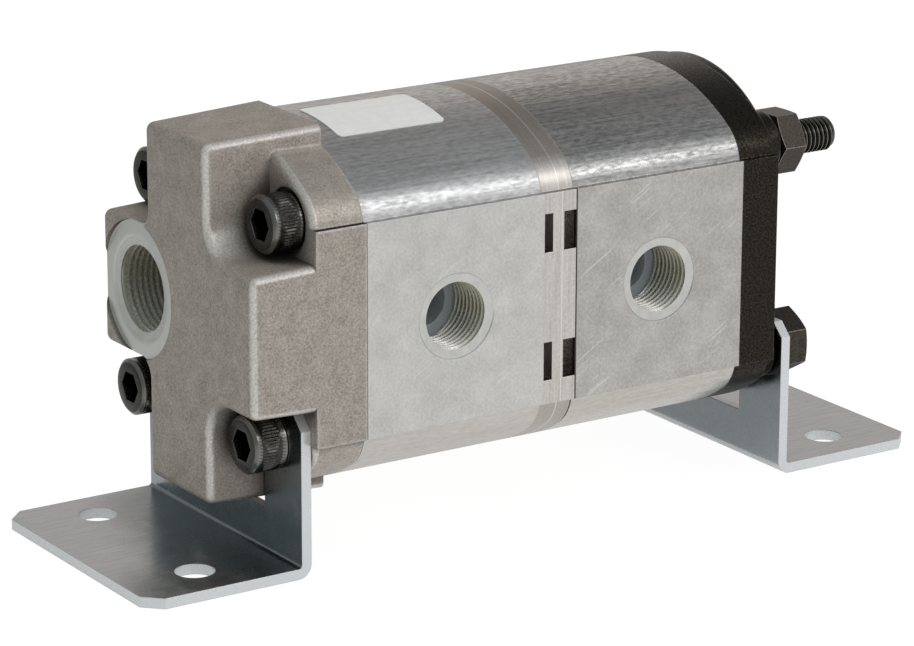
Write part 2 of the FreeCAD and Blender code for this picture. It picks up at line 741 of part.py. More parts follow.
def make_teeth(label, start, height, turn):
    """Toothed ring of one gear, with its first tooth turned by the given angle."""
    count = int(number("Sizes.tooth_count"))
    pitch = number("Sizes.gear_offset")
    tip = number(TIP)
    root = number("Sizes.gear_offset - Sizes.dedendum")
    pressure = math.radians(number("Sizes.pressure_angle"))
    base = pitch * math.cos(pressure)
    thickness = math.pi * pitch / count - number("Sizes.flank_play")

    def half_angle(radius):
        slope = math.acos(min(1.0, base / radius))
        return thickness / (2 * pitch) + involute(pressure) - involute(slope)

    def at(radius, angle):
        return Vector(0, radius * math.cos(angle), radius * math.sin(angle))

    step = (tip - base) / (FLANK_POINTS - 1)
    flank = [(base + index * step, half_angle(base + index * step)) for index in range(FLANK_POINTS)]
    edges = []
    pitch_angle = 2 * math.pi / count
    for tooth in range(count):
        middle = turn + tooth * pitch_angle
        foot = flank[0][1]
        crest = flank[-1][1]
        rise = Part.BSplineCurve()
        rise.interpolate([at(radius, middle - half) for radius, half in flank])
        fall = Part.BSplineCurve()
        fall.interpolate([at(radius, middle + half) for radius, half in reversed(flank)])
        edges.append(Part.makeLine(at(root, middle - foot), at(base, middle - foot)))
        edges.append(rise.toShape())
        edges.append(Part.Arc(at(tip, middle - crest), at(tip, middle), at(tip, middle + crest)).toShape())
        edges.append(fall.toShape())
        edges.append(Part.makeLine(at(base, middle + foot), at(root, middle + foot)))
        following = middle + pitch_angle
        edges.append(Part.Arc(at(root, middle + foot), at(root, middle + pitch_angle / 2),
                              at(root, following - foot)).toShape())
    outline = Part.Wire(edges)
    teeth = DOCUMENT.addObject("Part::Feature", f"{label}_teeth")
    teeth.Shape = Part.Face(outline).extrude(Vector(number(GEAR_LENGTH), 0, 0))
    return place(teeth, f"{start} + {GEAR_START}", "0", height)


def new_cylinder(label, radius, length, across, along="0", up="0", turn=ALONG_X):
    """Cylinder that starts at the given place and runs along X unless turned otherwise."""
    item = DOCUMENT.addObject("Part::Cylinder", label)
    return place(bind(item, Radius=radius, Height=length), across, along, up, turn)


def fuse(label, shapes):
    """One solid of several that touch."""
    item = DOCUMENT.addObject("Part::MultiFuse", label)
    item.Shapes = shapes
    item.Refine = True
    return item


def cut(label, base, tool):
    """One shape less another."""
    item = DOCUMENT.addObject("Part::Cut", label)
    item.Base = base
    item.Tool = tool
    return item


def group(label, shapes):
    """Several separate solids under one name."""
    item = DOCUMENT.addObject("Part::Compound", label)
    item.Links = shapes
    return node(item, label)


def make_gear(label, start, height, turn, tang_side=0):
    """Gear in one piece with its journals; the tang drives the coupling at one end."""
    parts = [make_teeth(label, start, height, turn)]
    reach = f"({GEAR_START} - Sizes.shaft_end_gap)"
    coupled = f"({GEAR_START})"
    front = coupled if tang_side < 0 else reach
    rear = coupled if tang_side > 0 else reach
    parts.append(new_cylinder(
        f"{label}_journals", "Sizes.journal_radius", f"{front} + {GEAR_LENGTH} + {rear}",
        f"{start} + {GEAR_START} - {front}", "0", height))
    if tang_side:
        edge = f"({start} + Sizes.body_length)" if tang_side > 0 else f"({start} - {TANG})"
        blade = DOCUMENT.addObject("Part::Box", f"{label}_blade")
        bind(blade, Length=TANG, Width="Sizes.tang_width", Height="2 * Sizes.journal_radius")
        place(blade, edge, "-Sizes.tang_width / 2", f"{height} - Sizes.journal_radius")
        stub = new_cylinder(f"{label}_stub", "Sizes.journal_radius", TANG, edge, "0", height)
        tang = DOCUMENT.addObject("Part::MultiCommon", f"{label}_tang")
        tang.Shapes = [stub, blade]
        parts.append(tang)
    return node(fuse(label, parts), label)


def make_coupling():
    """Slotted sleeve in the middle plate that joins the two upper shafts."""
    start = f"({X_PLATE} + Sizes.coupling_play)"
    sleeve = new_cylinder("coupling_sleeve", SLEEVE, SLEEVE_LENGTH, start, "0", UPPER)
    slot = DOCUMENT.addObject("Part::Box", "coupling_slot")
    bind(slot, Length=SLEEVE_LENGTH, Width="Sizes.tang_width + 2 * Sizes.tang_play",
         Height="2 * (Sizes.journal_radius + Sizes.tang_play)")
    place(slot, start, "-Sizes.tang_width / 2 - Sizes.tang_play",
          f"{UPPER} - Sizes.journal_radius - Sizes.tang_play")
    return node(cut("drive_coupling", sleeve, slot), "drive_coupling")


def seal_tracks(label, start, length, play):
    """Three-legged band on the outlet side of a bearing block's outer face."""
    rings = []
    for name, height in (("upper", UPPER), ("lower", LOWER)):
        outer = new_cylinder(f"{label}_{name}_outer",
                             f"{BLOCK_SEAL} + Sizes.block_seal_width / 2 + {play}",
                             length, start, "0", height)
        inner = new_cylinder(f"{label}_{name}_inner",
                             f"{BLOCK_SEAL} - Sizes.block_seal_width / 2 - {play}",
                             length, start, "0", height)
        rings.append(cut(f"{label}_{name}_ring", outer, inner))
    band = fuse(f"{label}_rings", rings)
    window = DOCUMENT.addObject("Part::Box", f"{label}_window")
    bind(window, Length=length, Width=f"2 * {CHAMBER}",
         Height=f"4 * Sizes.gear_offset + 2 * {CHAMBER}")
    place(window, start, f"Sizes.block_seal_edge + {play} - 2 * {CHAMBER}",
          f"{AXIS} - 2 * Sizes.gear_offset - {CHAMBER}")
    track = DOCUMENT.addObject("Part::MultiCommon", f"{label}_track")
    track.Shapes = [band, window]
    return track


def make_block(label, seal_label, start, outer_face_first):
    """Bearing block beside the gears, bored for two bushes, and the seal in its outer face."""
    blank = DOCUMENT.addObject("PartDesign::Body", f"{label}_blank")
    place(blank, start, "0", AXIS)
    outline = new_sketch(blank, "YZ_Plane", "Outline")
    add_figure_eight(outline, f"{CHAMBER} - Sizes.block_play")
    for level in (-1, 1):
        add_circle(outline, "0", f"{level} * Sizes.gear_offset", BUSH)
    pad(blank, outline, "Sizes.block_length")
    face = start if outer_face_first else f"({start} + Sizes.block_length - Sizes.seal_depth)"
    groove = seal_tracks(f"{label}_groove", face, "Sizes.seal_depth", "Sizes.seal_play")
    node(cut(label, blank, groove), label)
    node(seal_tracks(seal_label, face, "Sizes.seal_depth", "0"), seal_label)


def make_bushes(label, start):
    """Pair of plain bushes in one bearing block."""
    pair = []
    for name, height in (("upper", UPPER), ("lower", LOWER)):
        outer = new_cylinder(f"{label}_{name}_outer", BUSH, BUSH_LENGTH, start, "0", height)
        bore = new_cylinder(f"{label}_{name}_bore", "Sizes.journal_radius + Sizes.journal_play",
                            BUSH_LENGTH, start, "0", height)
        pair.append(cut(f"{label}_{name}", outer, bore))
    group(label, pair)


def make_section_inside(name, start, drive_tang):
    """Everything inside one section: two gears, two blocks, bushes and block seals."""
    front = f"({start} + Sizes.block_gap)"
    rear = f"({start} + Sizes.body_length - Sizes.block_gap - Sizes.block_length)"
    tooth = 2 * math.pi / number("Sizes.tooth_count")
    facing_down = -math.pi / 2
    facing_gap = math.pi / 2 + tooth / 2
    make_gear(f"{name}_drive_gear", start, UPPER, facing_down, drive_tang)
    make_gear(f"{name}_driven_gear", start, LOWER, facing_gap)
    for side, place_x, outer_first in (("inlet_side", front, True), ("end_side", rear, False)):
        make_block(f"{name}_{side}_bearing_block", f"{name}_{side}_block_seal", place_x, outer_first)
        make_bushes(f"{name}_{side}_bushes", f"{place_x} + Sizes.bush_inset")


# Seals and dowels


def make_face_seal(label, start):
    """Ring seal in a joint face, around the chambers and the gallery."""
    body = new_body(label, start)
    sketch = new_sketch(body, "YZ_Plane", "Ring")
    add_ring_path(sketch, f"{SEAL_RING} + Sizes.seal_width / 2")
    add_ring_path(sketch, f"{SEAL_RING} - Sizes.seal_width / 2")
    pad(body, sketch, "Sizes.seal_depth")
    node(body, label)


def make_dowels(label, joint):
    """Two dowels that line up the castings on either side of a joint."""
    pins = []
    for side in (-1, 1):
        pins.append(new_cylinder(
            f"{label}_{'near' if side < 0 else 'far'}", "Sizes.dowel_radius", "2 * Sizes.dowel_reach",
            f"{joint} - Sizes.dowel_reach", f"{side} * {DOWEL}",
            f"{AXIS} + {side} * Sizes.dowel_z"))
    group(label, pins)


# Fasteners


def add_hexagon(sketch, flats, corner_across):
    """Hexagon about the origin; its corners point across or up."""
    corner = f"({flats}) / sqrt(3)"
    half = f"({flats}) / 2"
    near = f"({flats}) / (2 * sqrt(3))"
    if corner_across:
        points = [(corner, "0"), (near, half), (f"-{near}", half),
                  (f"-{corner}", "0"), (f"-{near}", f"-{half}"), (near, f"-{half}")]
    else:
        points = [("0", corner), (f"-{half}", near), (f"-{half}", f"-{near}"),
                  ("0", f"-{corner}"), (half, f"-{near}"), (half, near)]
    add_outline(sketch, points)


def make_bolt(label, seat, side, level, length):
    """Socket head screw with its head's seat at the given place, pointing along +X."""
    body = new_body(label, seat, f"{AXIS} + {level} * Sizes.bolt_z", f"{side} * Sizes.bolt_y")
    profile = new_sketch(body, "XY_Plane", "Profile")
    add_outline(profile, [
        ("-Sizes.head_length", "0"),
        (length, "0"),
        (length, "Sizes.shank_radius - Sizes.tip_chamfer"),
        (f"{length} - Sizes.tip_chamfer", "Sizes.shank_radius"),
        ("0", "Sizes.shank_radius"),
        ("0", "Sizes.head_radius"),
        ("Sizes.head_chamfer - Sizes.head_length", "Sizes.head_radius"),
        ("-Sizes.head_length", "Sizes.head_radius - Sizes.head_chamfer"),
    ])
    revolve(body, profile)
    socket = new_sketch(body, "YZ_Plane", "Socket", "-Sizes.head_length")
    add_hexagon(socket, "Sizes.socket_flats", corner_across=False)
    pocket(body, socket, "Sizes.socket_depth")
    return body


def make_nut(label, seat, side, level, corner_across):
    """Plain hexagon nut with chamfered corners on both faces."""
    body = new_body(label, seat, f"{AXIS} + {level} * Sizes.bolt_z", f"{side} * Sizes.bolt_y")
    outline = new_sketch(body, "YZ_Plane", "Hexagon")
    add_hexagon(outline, "Sizes.nut_flats", corner_across)
    add_circle(outline, "0", "0", "Sizes.shank_radius + Sizes.nut_play")
    pad(body, outline, "Sizes.nut_length")
    corner = "Sizes.nut_flats / sqrt(3)"
    low = f"{corner} - 2 * Sizes.nut_chamfer"
    chamfers = new_sketch(body, "XY_Plane", "Chamfers")
    for face, inner in (("0", "Sizes.nut_chamfer"),
                        ("Sizes.nut_length", "Sizes.nut_length - Sizes.nut_chamfer")):
        add_outline(chamfers, [
            (face, low),
            (inner, f"{corner} + Sizes.nut_chamfer"),
            (face, f"{corner} + Sizes.nut_chamfer"),
        ])
    revolve(body, chamfers, "PartDesign::Groove")
    return body


def make_washers():
    """Plain washers under the heads of the lower bolts."""
    washers = []
    start = f"({X_HEADS} - Sizes.sheet - Sizes.washer_thickness)"
    height = f"({AXIS} - Sizes.bolt_z)"
    for end, side in (("near", -1), ("far", 1)):
        across = f"{side} * Sizes.bolt_y"
        disc = new_cylinder(f"{end}_washer_disc", "Sizes.washer_radius", "Sizes.washer_thickness",
                            start, across, height)
        hole = new_cylinder(f"{end}_washer_hole", "Sizes.shank_radius + Sizes.washer_play",
                            "Sizes.washer_thickness", start, across, height)
        washers.append(cut(f"{end}_washer", disc, hole))
    group("lower_washers", washers)


def make_fasteners():
    """Four tie bolts with nuts; the lower pair also clamps the feet."""
    for name, level, seat, nut_seat in (
            ("upper", 1, f"({X_HEADS} + Sizes.head_seat_depth)", X_SEAT),
            ("lower", -1, f"({X_HEADS} - Sizes.sheet - Sizes.washer_thickness)",
             f"({X_SEAT} + Sizes.sheet)")):
        length = f"({nut_seat} + Sizes.nut_length + Sizes.{name}_standout - {seat})"
        bolts = []
        nuts = []
        for end, side in (("near", -1), ("far", 1)):
            bolts.append(make_bolt(f"{name}_{end}_bolt", seat, side, level, length))
            nuts.append(make_nut(f"{name}_{end}_nut", nut_seat, side, level, corner_across=level > 0))
        group(f"{name}_tie_bolts", bolts)
        group(f"{name}_nuts", nuts)


# Feet and label


def make_foot(label, leg_face, turn=None):
    """Bent sheet foot: a leg with two bolted ears, and a flat with two holes.

    The body's X axis points the way the flat runs, from the leg's inner face.
    """
    body = new_body(label, leg_face, AXIS, "0", turn)
    bottom = f"(-{AXIS})"
    outside = "Sizes.bend_inside + Sizes.sheet"
    section = new_sketch(body, "XZ_Plane", "Section")
    add_outline(section, [
        ("-Sizes.sheet", EAR_TOP),
        ("-Sizes.sheet", bottom, outside),
        ("Sizes.foot_length", bottom),
        ("Sizes.foot_length", f"{bottom} + Sizes.sheet"),
        ("0", f"{bottom} + Sizes.sheet", "Sizes.bend_inside"),
        ("0", EAR_TOP),
    ])
    sheet = pad(body, section, f"2 * {FOOT_SIDE}", both=True)
    reach = number("Sizes.foot_length")
    half = number(FOOT_SIDE)
    crest = number(EAR_TOP)

    def on_side(box):
        return box.YLength < TOLERANCE and abs(abs(box.YMax) - half) < TOLERANCE

    def at_flat_corner(edge):
        return on_side(edge.BoundBox) and edge.BoundBox.XMin > reach - TOLERANCE

    def at_ear_corner(edge):
        return on_side(edge.BoundBox) and edge.BoundBox.ZMin > crest - TOLERANCE

    flat_corners = soften(body, sheet, "Chamfer", "Sizes.foot_corner", at_flat_corner)
    soften(body, flat_corners, "Chamfer", "Sizes.ear_corner", at_ear_corner)
    opening = new_sketch(body, "YZ_Plane", "Notch")
    side = "(Sizes.spine_near + Sizes.cast_draft + Sizes.notch_play)"
    above = f"({EAR_TOP} + {side})"
    below = f"({SPINE_BOTTOM} - Sizes.cast_draft - Sizes.notch_gap)"
    add_outline(opening, [(f"-{side}", below), (side, below), (side, above), (f"-{side}", above)])
    notched = pocket(body, opening, "Sizes.sheet", forwards=False)
    inner = number(side)

    def at_inner_corner(edge):
        box = edge.BoundBox
        return (box.YLength < TOLERANCE and box.ZLength < TOLERANCE
                and abs(abs(box.YMax) - inner) < TOLERANCE and abs(box.ZMin - crest) < TOLERANCE)

    soften(body, notched, "Fillet", "Sizes.pocket_round - Sizes.ear_gap", at_inner_corner)
    ears = new_sketch(body, "YZ_Plane", "EarHoles")
    for end in (-1, 1):
        add_circle(ears, f"{end} * Sizes.bolt_y", "-Sizes.bolt_z",
                   "Sizes.shank_radius + Sizes.bolt_clearance")
    pocket(body, ears, "Sizes.sheet", forwards=False)
    holes = new_sketch(body, "XY_Plane", "FootHoles", bottom)
    for end in (-1, 1):
        add_circle(holes, "Sizes.foot_hole_x", f"{end} * Sizes.foot_hole_y", "Sizes.foot_hole_radius")
    pocket(body, holes, "Sizes.sheet")
    return node(body, label)


def make_label():
    """Thin blank plate that follows the arch of the front body."""
    arch = crown_radius("corner", CROWN)
    start = f"({X_FRONT} + Sizes.label_start)"
    middle = f"{AXIS} + {CROWN} - {arch}"
    outer = new_cylinder("label_outer", f"{arch} + Sizes.label_thickness", "Sizes.label_length",
                         start, "0", middle)
    inner = new_cylinder("label_inner", arch, "Sizes.label_length", start, "0", middle)
    shell = cut("label_shell", outer, inner)
    stencil = DOCUMENT.addObject("PartDesign::Body", "label_stencil")
    place(stencil, start, "0", AXIS)
    shape = new_sketch(stencil, "XY_Plane", "Rounded")
    add_outline(shape, [
        ("0", "-Sizes.label_near", "Sizes.label_corner"),
        ("Sizes.label_length", "-Sizes.label_near", "Sizes.label_corner"),
        ("Sizes.label_length", "Sizes.label_far", "Sizes.label_corner"),
        ("0", "Sizes.label_far", "Sizes.label_corner"),
    ])
    pad(stencil, shape, f"{CROWN} + 2 * Sizes.label_thickness")
    plate = DOCUMENT.addObject("Part::MultiCommon", "rating_label")
    plate.Shapes = [shell, stencil]
    return node(plate, "rating_label")


def check_and_write():
    """Stop on any failed object or cut that removed nothing, then write each sub-part."""
    DOCUMENT.recompute()
    for item in DOCUMENT.Objects:
        if "Invalid" in item.State or "Error" in item.State:
            raise RuntimeError(f"{item.Name} ({item.Label}) failed: {item.State}")
        if item.TypeId in ("PartDesign::Pocket", "PartDesign::Groove", "PartDesign::Chamfer"):
            if item.Shape.Volume > item.BaseFeature.Shape.Volume - TOLERANCE:
                raise RuntimeError(f"{item.Name} removes nothing from its body")
    os.makedirs("parts", exist_ok=True)
    for item in NODES:
        if item.Shape.isNull() or not item.Shape.isValid():
            raise RuntimeError(f"{item.Label} has no valid shape")
        item.Shape.exportStep(f"parts/{item.Label}.step")
        print(f"{item.Label}: {len(item.Shape.Solids)} solids, {item.Shape.Volume / 1000:.2f} cm3")


make_inlet_cover()
make_section_body("front_body", X_FRONT)
make_middle_plate()
make_section_body("rear_body", X_REAR)
make_end_cover()
make_section_inside("front", X_FRONT, 1)
make_section_inside("rear", X_REAR, -1)
make_coupling()
make_face_seal("inlet_cover_seal", f"({X_FRONT} - Sizes.seal_depth)")
make_face_seal("front_body_seal", X_PLATE)
make_face_seal("rear_body_seal", f"({X_REAR} - Sizes.seal_depth)")
make_face_seal("end_cover_seal", X_END)
make_dowels("inlet_cover_dowels", X_FRONT)
make_dowels("front_plate_dowels", X_PLATE)
make_dowels("rear_plate_dowels", X_REAR)
make_dowels("end_cover_dowels", X_END)
make_washers()
make_fasteners()
make_foot("front_foot", f"({X_HEADS} - Sizes.sheet)", Rotation(Vector(0, 0, 1), HALF_TURN))
make_foot("rear_foot", f"({X_SEAT} + Sizes.sheet)")
make_label()
check_and_write()
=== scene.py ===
"""Gear flow divider: the finish of every piece, real threads and knurls, studio and camera.

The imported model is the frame. Castings, feet, nuts, the label and everything inside keep their
solids and get a finish. The tie bolts get knurled heads and cut threads, and the ports get
threads. Sizes are in millimetres, and places in the frame are in metres.
"""
import logging
import math
from dataclasses import dataclass
from enum import Enum
from functools import partial
from typing import Iterable

import bmesh
import bpy
from mathutils import Matrix, Vector


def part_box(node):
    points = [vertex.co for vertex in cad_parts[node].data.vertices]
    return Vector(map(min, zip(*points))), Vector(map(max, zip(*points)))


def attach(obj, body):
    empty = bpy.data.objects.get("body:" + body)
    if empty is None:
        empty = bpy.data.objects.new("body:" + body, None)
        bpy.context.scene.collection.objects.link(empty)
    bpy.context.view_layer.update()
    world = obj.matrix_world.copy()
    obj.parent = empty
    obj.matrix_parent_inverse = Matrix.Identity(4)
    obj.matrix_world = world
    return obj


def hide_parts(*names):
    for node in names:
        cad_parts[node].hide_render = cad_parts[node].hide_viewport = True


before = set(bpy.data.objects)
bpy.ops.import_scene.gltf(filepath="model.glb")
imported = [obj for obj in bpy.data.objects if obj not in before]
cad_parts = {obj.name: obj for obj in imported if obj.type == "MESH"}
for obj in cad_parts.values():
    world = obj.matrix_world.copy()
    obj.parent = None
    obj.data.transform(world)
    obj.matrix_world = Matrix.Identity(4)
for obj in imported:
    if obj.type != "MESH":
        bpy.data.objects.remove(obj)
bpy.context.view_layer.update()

MM = 0.001
MM_PER_M = 1000.0
ORIGIN = (0.0, 0.0, 0.0)
FULL_TURN = 2 * math.pi
WHOLE_HOUSING = "housing"

# Sockets of the Mix node by number, because its names stand for several sockets
MIX_AMOUNT, MIX_FIRST, MIX_SECOND, MIX_COLOUR = 0, 6, 7, 2
BLEND_FIRST, BLEND_SECOND, BLEND_VALUE = 2, 3, 0

# Rays that find edges and shade, and the side that the studio lights
BEVEL_RAYS = 6
SHADE_RAYS = 8
LIT_SIDE = (0.4, -0.6, 0.8)

# Where a pattern starts and where it is full
EDGE_TURN = (0.995, 0.9)
ROUND_TURN = (0.995, 0.93)
SKY_SHARE = (0.35, 0.75)
CREST_SHARPNESS = (0.5, 0.56)
GROOVE_SHARPNESS = (0.52, 0.46)

# How much a face has to face along an axis to lie across it, or to lie level
ACROSS = 0.95
LEVEL = 0.8

# Points nearer than this are one point
WELD = 0.001 * MM
THREAD_WELD = 0.002 * MM

log = logging.getLogger("gear_flow_divider")

Colour = tuple[float, float, float, float]
Socket = bpy.types.NodeSocket
Shape = bmesh.types.BMesh


def linear(hex_colour: str) -> Colour:
    """Turn an sRGB hex value into a linear colour.

    Args:
        hex_colour: Six hex digits after a hash sign.

    Returns:
        Red, green and blue from 0 to 1, and an alpha of 1.
    """
    def channel(value: int) -> float:
        """Linear strength of one channel."""
        share = value / 255
        return share / 12.92 if share <= 0.04045 else ((share + 0.055) / 1.055) ** 2.4

    digits = hex_colour.lstrip("#")
    red, green, blue = (channel(int(digits[start:start + 2], 16)) for start in (0, 2, 4))
    return red, green, blue, 1.0


def add_node(tree: bpy.types.NodeTree, kind: str, inputs: dict | None = None, **settings) -> bpy.types.Node:
    """Add a node with its settings, values and links.

    Args:
        tree: Node tree that takes the node.
        kind: Blender's name of the node type.
        inputs: Socket name or number, with a value or the output that feeds it.
        **settings: Attributes of the node itself.

    Returns:
        The new node.
    """
    node = tree.nodes.new(kind)
    for name, value in settings.items():
        setattr(node, name, value)
    for key, value in (inputs or {}).items():
        if isinstance(value, Socket):
            tree.links.new(value, node.inputs[key])
        else:
            node.inputs[key].default_value = value
    return node


class Surface:
    """Node tree of one material while it is being made."""

    def __init__(self, name: str, **constants: object) -> None:
        """Start a material with one shader.

        Args:
            name: Name of the material.
            **constants: Values that are the same all over, by socket name with _ for a space.
        """
        self.material = bpy.data.materials.new(name)
        self.material.use_nodes = True
        self.tree = self.material.node_tree
        self.tree.nodes.clear()
        self.shader = self.add("ShaderNodeBsdfPrincipled")
        for key, value in constants.items():
            self.shader.inputs[key.replace("_", " ")].default_value = value
        self.add("ShaderNodeOutputMaterial", {"Surface": self.shader.outputs[0]})
        self.place = self.add("ShaderNodeTexCoord").outputs["Object"]
        shape = self.add("ShaderNodeNewGeometry")
        self.normal = shape.outputs["Normal"]
        self.sharpness = shape.outputs["Pointiness"]

    def add(self, kind: str, inputs: dict | None = None, **settings) -> bpy.types.Node:
        """Add a node to this material's tree."""
        return add_node(self.tree, kind, inputs, **settings)

    def feed(self, **sockets: Socket) -> None:
        """Link outputs to the shader's sockets, by socket name with _ for a space."""
        for key, output in sockets.items():
            self.tree.links.new(output, self.shader.inputs[key.replace("_", " ")])

    def fade(self, value: Socket, start: float, full: float, low: float = 0.0, high: float = 1.0) -> Socket:
        """Go from a low value to a high one while another value goes from start to full."""
        span = {"Value": value, "From Min": start, "From Max": full, "To Min": low, "To Max": high}
        return self.add("ShaderNodeMapRange", span).outputs[0]

    def times(self, first: object, second: object) -> Socket:
        """Where both patterns are, or one pattern made fainter by a share."""
        return self.add("ShaderNodeMath", {0: first, 1: second}, operation="MULTIPLY").outputs[0]

    def either(self, first: object, second: object) -> Socket:
        """Where one pattern or the other is."""
        return self.add("ShaderNodeMath", {0: first, 1: second}, operation="MAXIMUM").outputs[0]

    def less(self, first: object, second: object) -> Socket:
        """One value less another."""
        return self.add("ShaderNodeMath", {0: first, 1: second}, operation="SUBTRACT").outputs[0]

    def outside(self, pattern: Socket) -> Socket:
        """Where a pattern isn't."""
        return self.less(1.0, pattern)

    def over(self, value: Socket, limit: float) -> Socket:
        """Where a value is over a limit."""
        return self.add("ShaderNodeMath", {0: value, 1: limit}, operation="GREATER_THAN").outputs[0]

    def under(self, value: Socket, limit: float) -> Socket:
        """Where a value is under a limit."""
        return self.add("ShaderNodeMath", {0: value, 1: limit}, operation="LESS_THAN").outputs[0]

    def within(self, value: Socket, limit: float, soft: float = 0.1) -> Socket:
        """Where a value is under a limit, with a soft border."""
        return self.fade(value, limit - soft, limit + soft, 1.0, 0.0)

    def paint(self, amount: object, first: Socket | str, second: Socket | str) -> Socket:
        """Lay a second colour over a first one.

        Args:
            amount: How much of the second colour shows, from 0 to 1.
            first: Colour below, as an output or a hex value.
            second: Colour on top, as an output or a hex value.

        Returns:
            The colour.
        """
        first, second = (linear(part) if isinstance(part, str) else part for part in (first, second))
        inputs = {MIX_AMOUNT: amount, MIX_FIRST: first, MIX_SECOND: second}
        return self.add("ShaderNodeMix", inputs, data_type="RGBA").outputs[MIX_COLOUR]

    def blend(self, amount: object, first: object, second: object) -> Socket:
        """Go from a first value to a second one by an amount."""
        inputs = {MIX_AMOUNT: amount, BLEND_FIRST: first, BLEND_SECOND: second}
        return self.add("ShaderNodeMix", inputs, data_type="FLOAT").outputs[BLEND_VALUE]

    def cloud(self, size: float, low: float = 0.0, high: float = 1.0,
              stretch: tuple[float, float, float] = (1, 1, 1), spread: float = 0.2, detail: float = 2.0,
              turn: float = 0.0) -> Socket:
        """Cloudy pattern of a real size.

        Args:
            size: Width of a cloud in millimetres.
            low: Value in its darkest places.
            high: Value in its lightest places.
            stretch: How many times longer a cloud is along X, Y and Z.
            spread: How far from the middle the pattern is cut off, where less is harder.
            detail: Octaves of finer detail.
            turn: Turn of the whole pattern about Y, in degrees.

        Returns:
            The pattern's value.
        """
        place = self.place
        if turn:
            place = self.add("ShaderNodeVectorRotate", {"Vector": place, "Angle": math.radians(turn)},
                             rotation_type="Y_AXIS").outputs[0]
        scale = [MM_PER_M / (size * part) for part in stretch]
        scaled = self.add("ShaderNodeVectorMath", {0: place, 1: scale}, operation="MULTIPLY")
        noise = self.add("ShaderNodeTexNoise", {"Vector": scaled.outputs[0], "Scale": 1.0,
                                                "Detail": detail})
        return self.fade(noise.outputs[0], 0.5 - spread, 0.5 + spread, low, high)

    def distance(self, centre: tuple[float, float, float], axes: tuple[int, int, int]) -> Socket:
        """Distance from a line or plane through a point.

        Args:
            centre: A point on it, in millimetres.
            axes: One for each axis that counts, nought for the others.

        Returns:
            The distance in millimetres.
        """
        middle = [part * MM for part in centre]
        counted = [part * MM_PER_M for part in axes]
        moved = self.add("ShaderNodeVectorMath", {0: self.place, 1: middle}, operation="SUBTRACT")
        kept = self.add("ShaderNodeVectorMath", {0: moved.outputs[0], 1: counted}, operation="MULTIPLY")
        return self.add("ShaderNodeVectorMath", {0: kept.outputs[0]}, operation="LENGTH").outputs["Value"]

    def round_edges(self, radius: float) -> tuple[Socket, Socket]:
        """Shade sharp edges as if they were broken.

        Args:
            radius: Radius of the edge in millimetres.

        Returns:
            The rounded normal, and one along edges with nought elsewhere.
        """
        rounded = self.add("ShaderNodeBevel", {"Radius": radius * MM}, samples=BEVEL_RAYS).outputs[0]
        turned = self.add("ShaderNodeVectorMath", {0: rounded, 1: self.normal}, operation="DOT_PRODUCT")
        return rounded, self.fade(turned.outputs["Value"], *EDGE_TURN)

    def upward(self) -> Socket:
        """How much the surface faces up, from -1 to 1."""
        return self.add("ShaderNodeSeparateXYZ", {0: self.normal}).outputs["Z"]

    def facing(self, axis: str) -> Socket:
        """How much the surface faces along an axis, either way, from 0 to 1."""
        part = self.add("ShaderNodeSeparateXYZ", {0: self.normal}).outputs[axis]
        return self.add("ShaderNodeMath", {0: part}, operation="ABSOLUTE").outputs[0]

    def fillets(self) -> Socket:
        """One on rounds and slopes, nought where the surface lies square to an axis."""
        biggest = self.either(self.either(self.facing("X"), self.facing("Y")), self.facing("Z"))
        return self.fade(biggest, *ROUND_TURN)

    def open_air(self, reach: float, towards: tuple[float, float, float] = LIT_SIDE) -> Socket:
        """One where nothing on one side is within reach, towards nought beside and under pieces.

        Args:
            reach: How far a piece throws its shade, in millimetres.
            towards: Lean towards the side that counts.

        Returns:
            The pattern.
        """
        leaning = self.add("ShaderNodeVectorMath", {0: self.normal, 1: towards}, operation="ADD").outputs[0]
        free = self.add("ShaderNodeAmbientOcclusion", {"Distance": reach * MM, "Normal": leaning},
                        samples=SHADE_RAYS).outputs["AO"]
        return self.fade(free, *SKY_SHARE)

    def crests(self) -> Socket:
        """One on the crests of ridges such as a knurl, nought on flats and in grooves."""
        return self.times(self.fade(self.sharpness, *CREST_SHARPNESS), self.under(self.facing("X"), ACROSS))

    def underside(self) -> Socket:
        """One where the surface faces down, nought where it faces up."""
        return self.under(self.upward(), 0.0)

    def ledge(self, start: float = 43.0) -> Socket:
        """One on the narrow ledges above and below the side flats."""
        outside = self.over(self.distance(ORIGIN, (0, 1, 0)), start)
        return self.times(outside, self.over(self.facing("Z"), LEVEL))

    def emboss(self, height: Socket, depth: float, normal: Socket | None = None) -> None:
        """Raise the surface by a pattern.

        Args:
            height: Pattern from 0 to 1.
            depth: Height of the relief in millimetres.
            normal: Normal that the relief starts from, if not the surface's own.
        """
        inputs = {"Height": height, "Distance": depth * MM, "Strength": 1.0}
        if normal is not None:
            inputs["Normal"] = normal
        self.feed(Normal=self.add("ShaderNodeBump", inputs).outputs[0])


# Finishes


@dataclass(frozen=True)
class Finish:
    """What a surface is made of and how it was made."""

    name: str

    def material(self) -> bpy.types.Material:
        """Make the material."""
        raise NotImplementedError


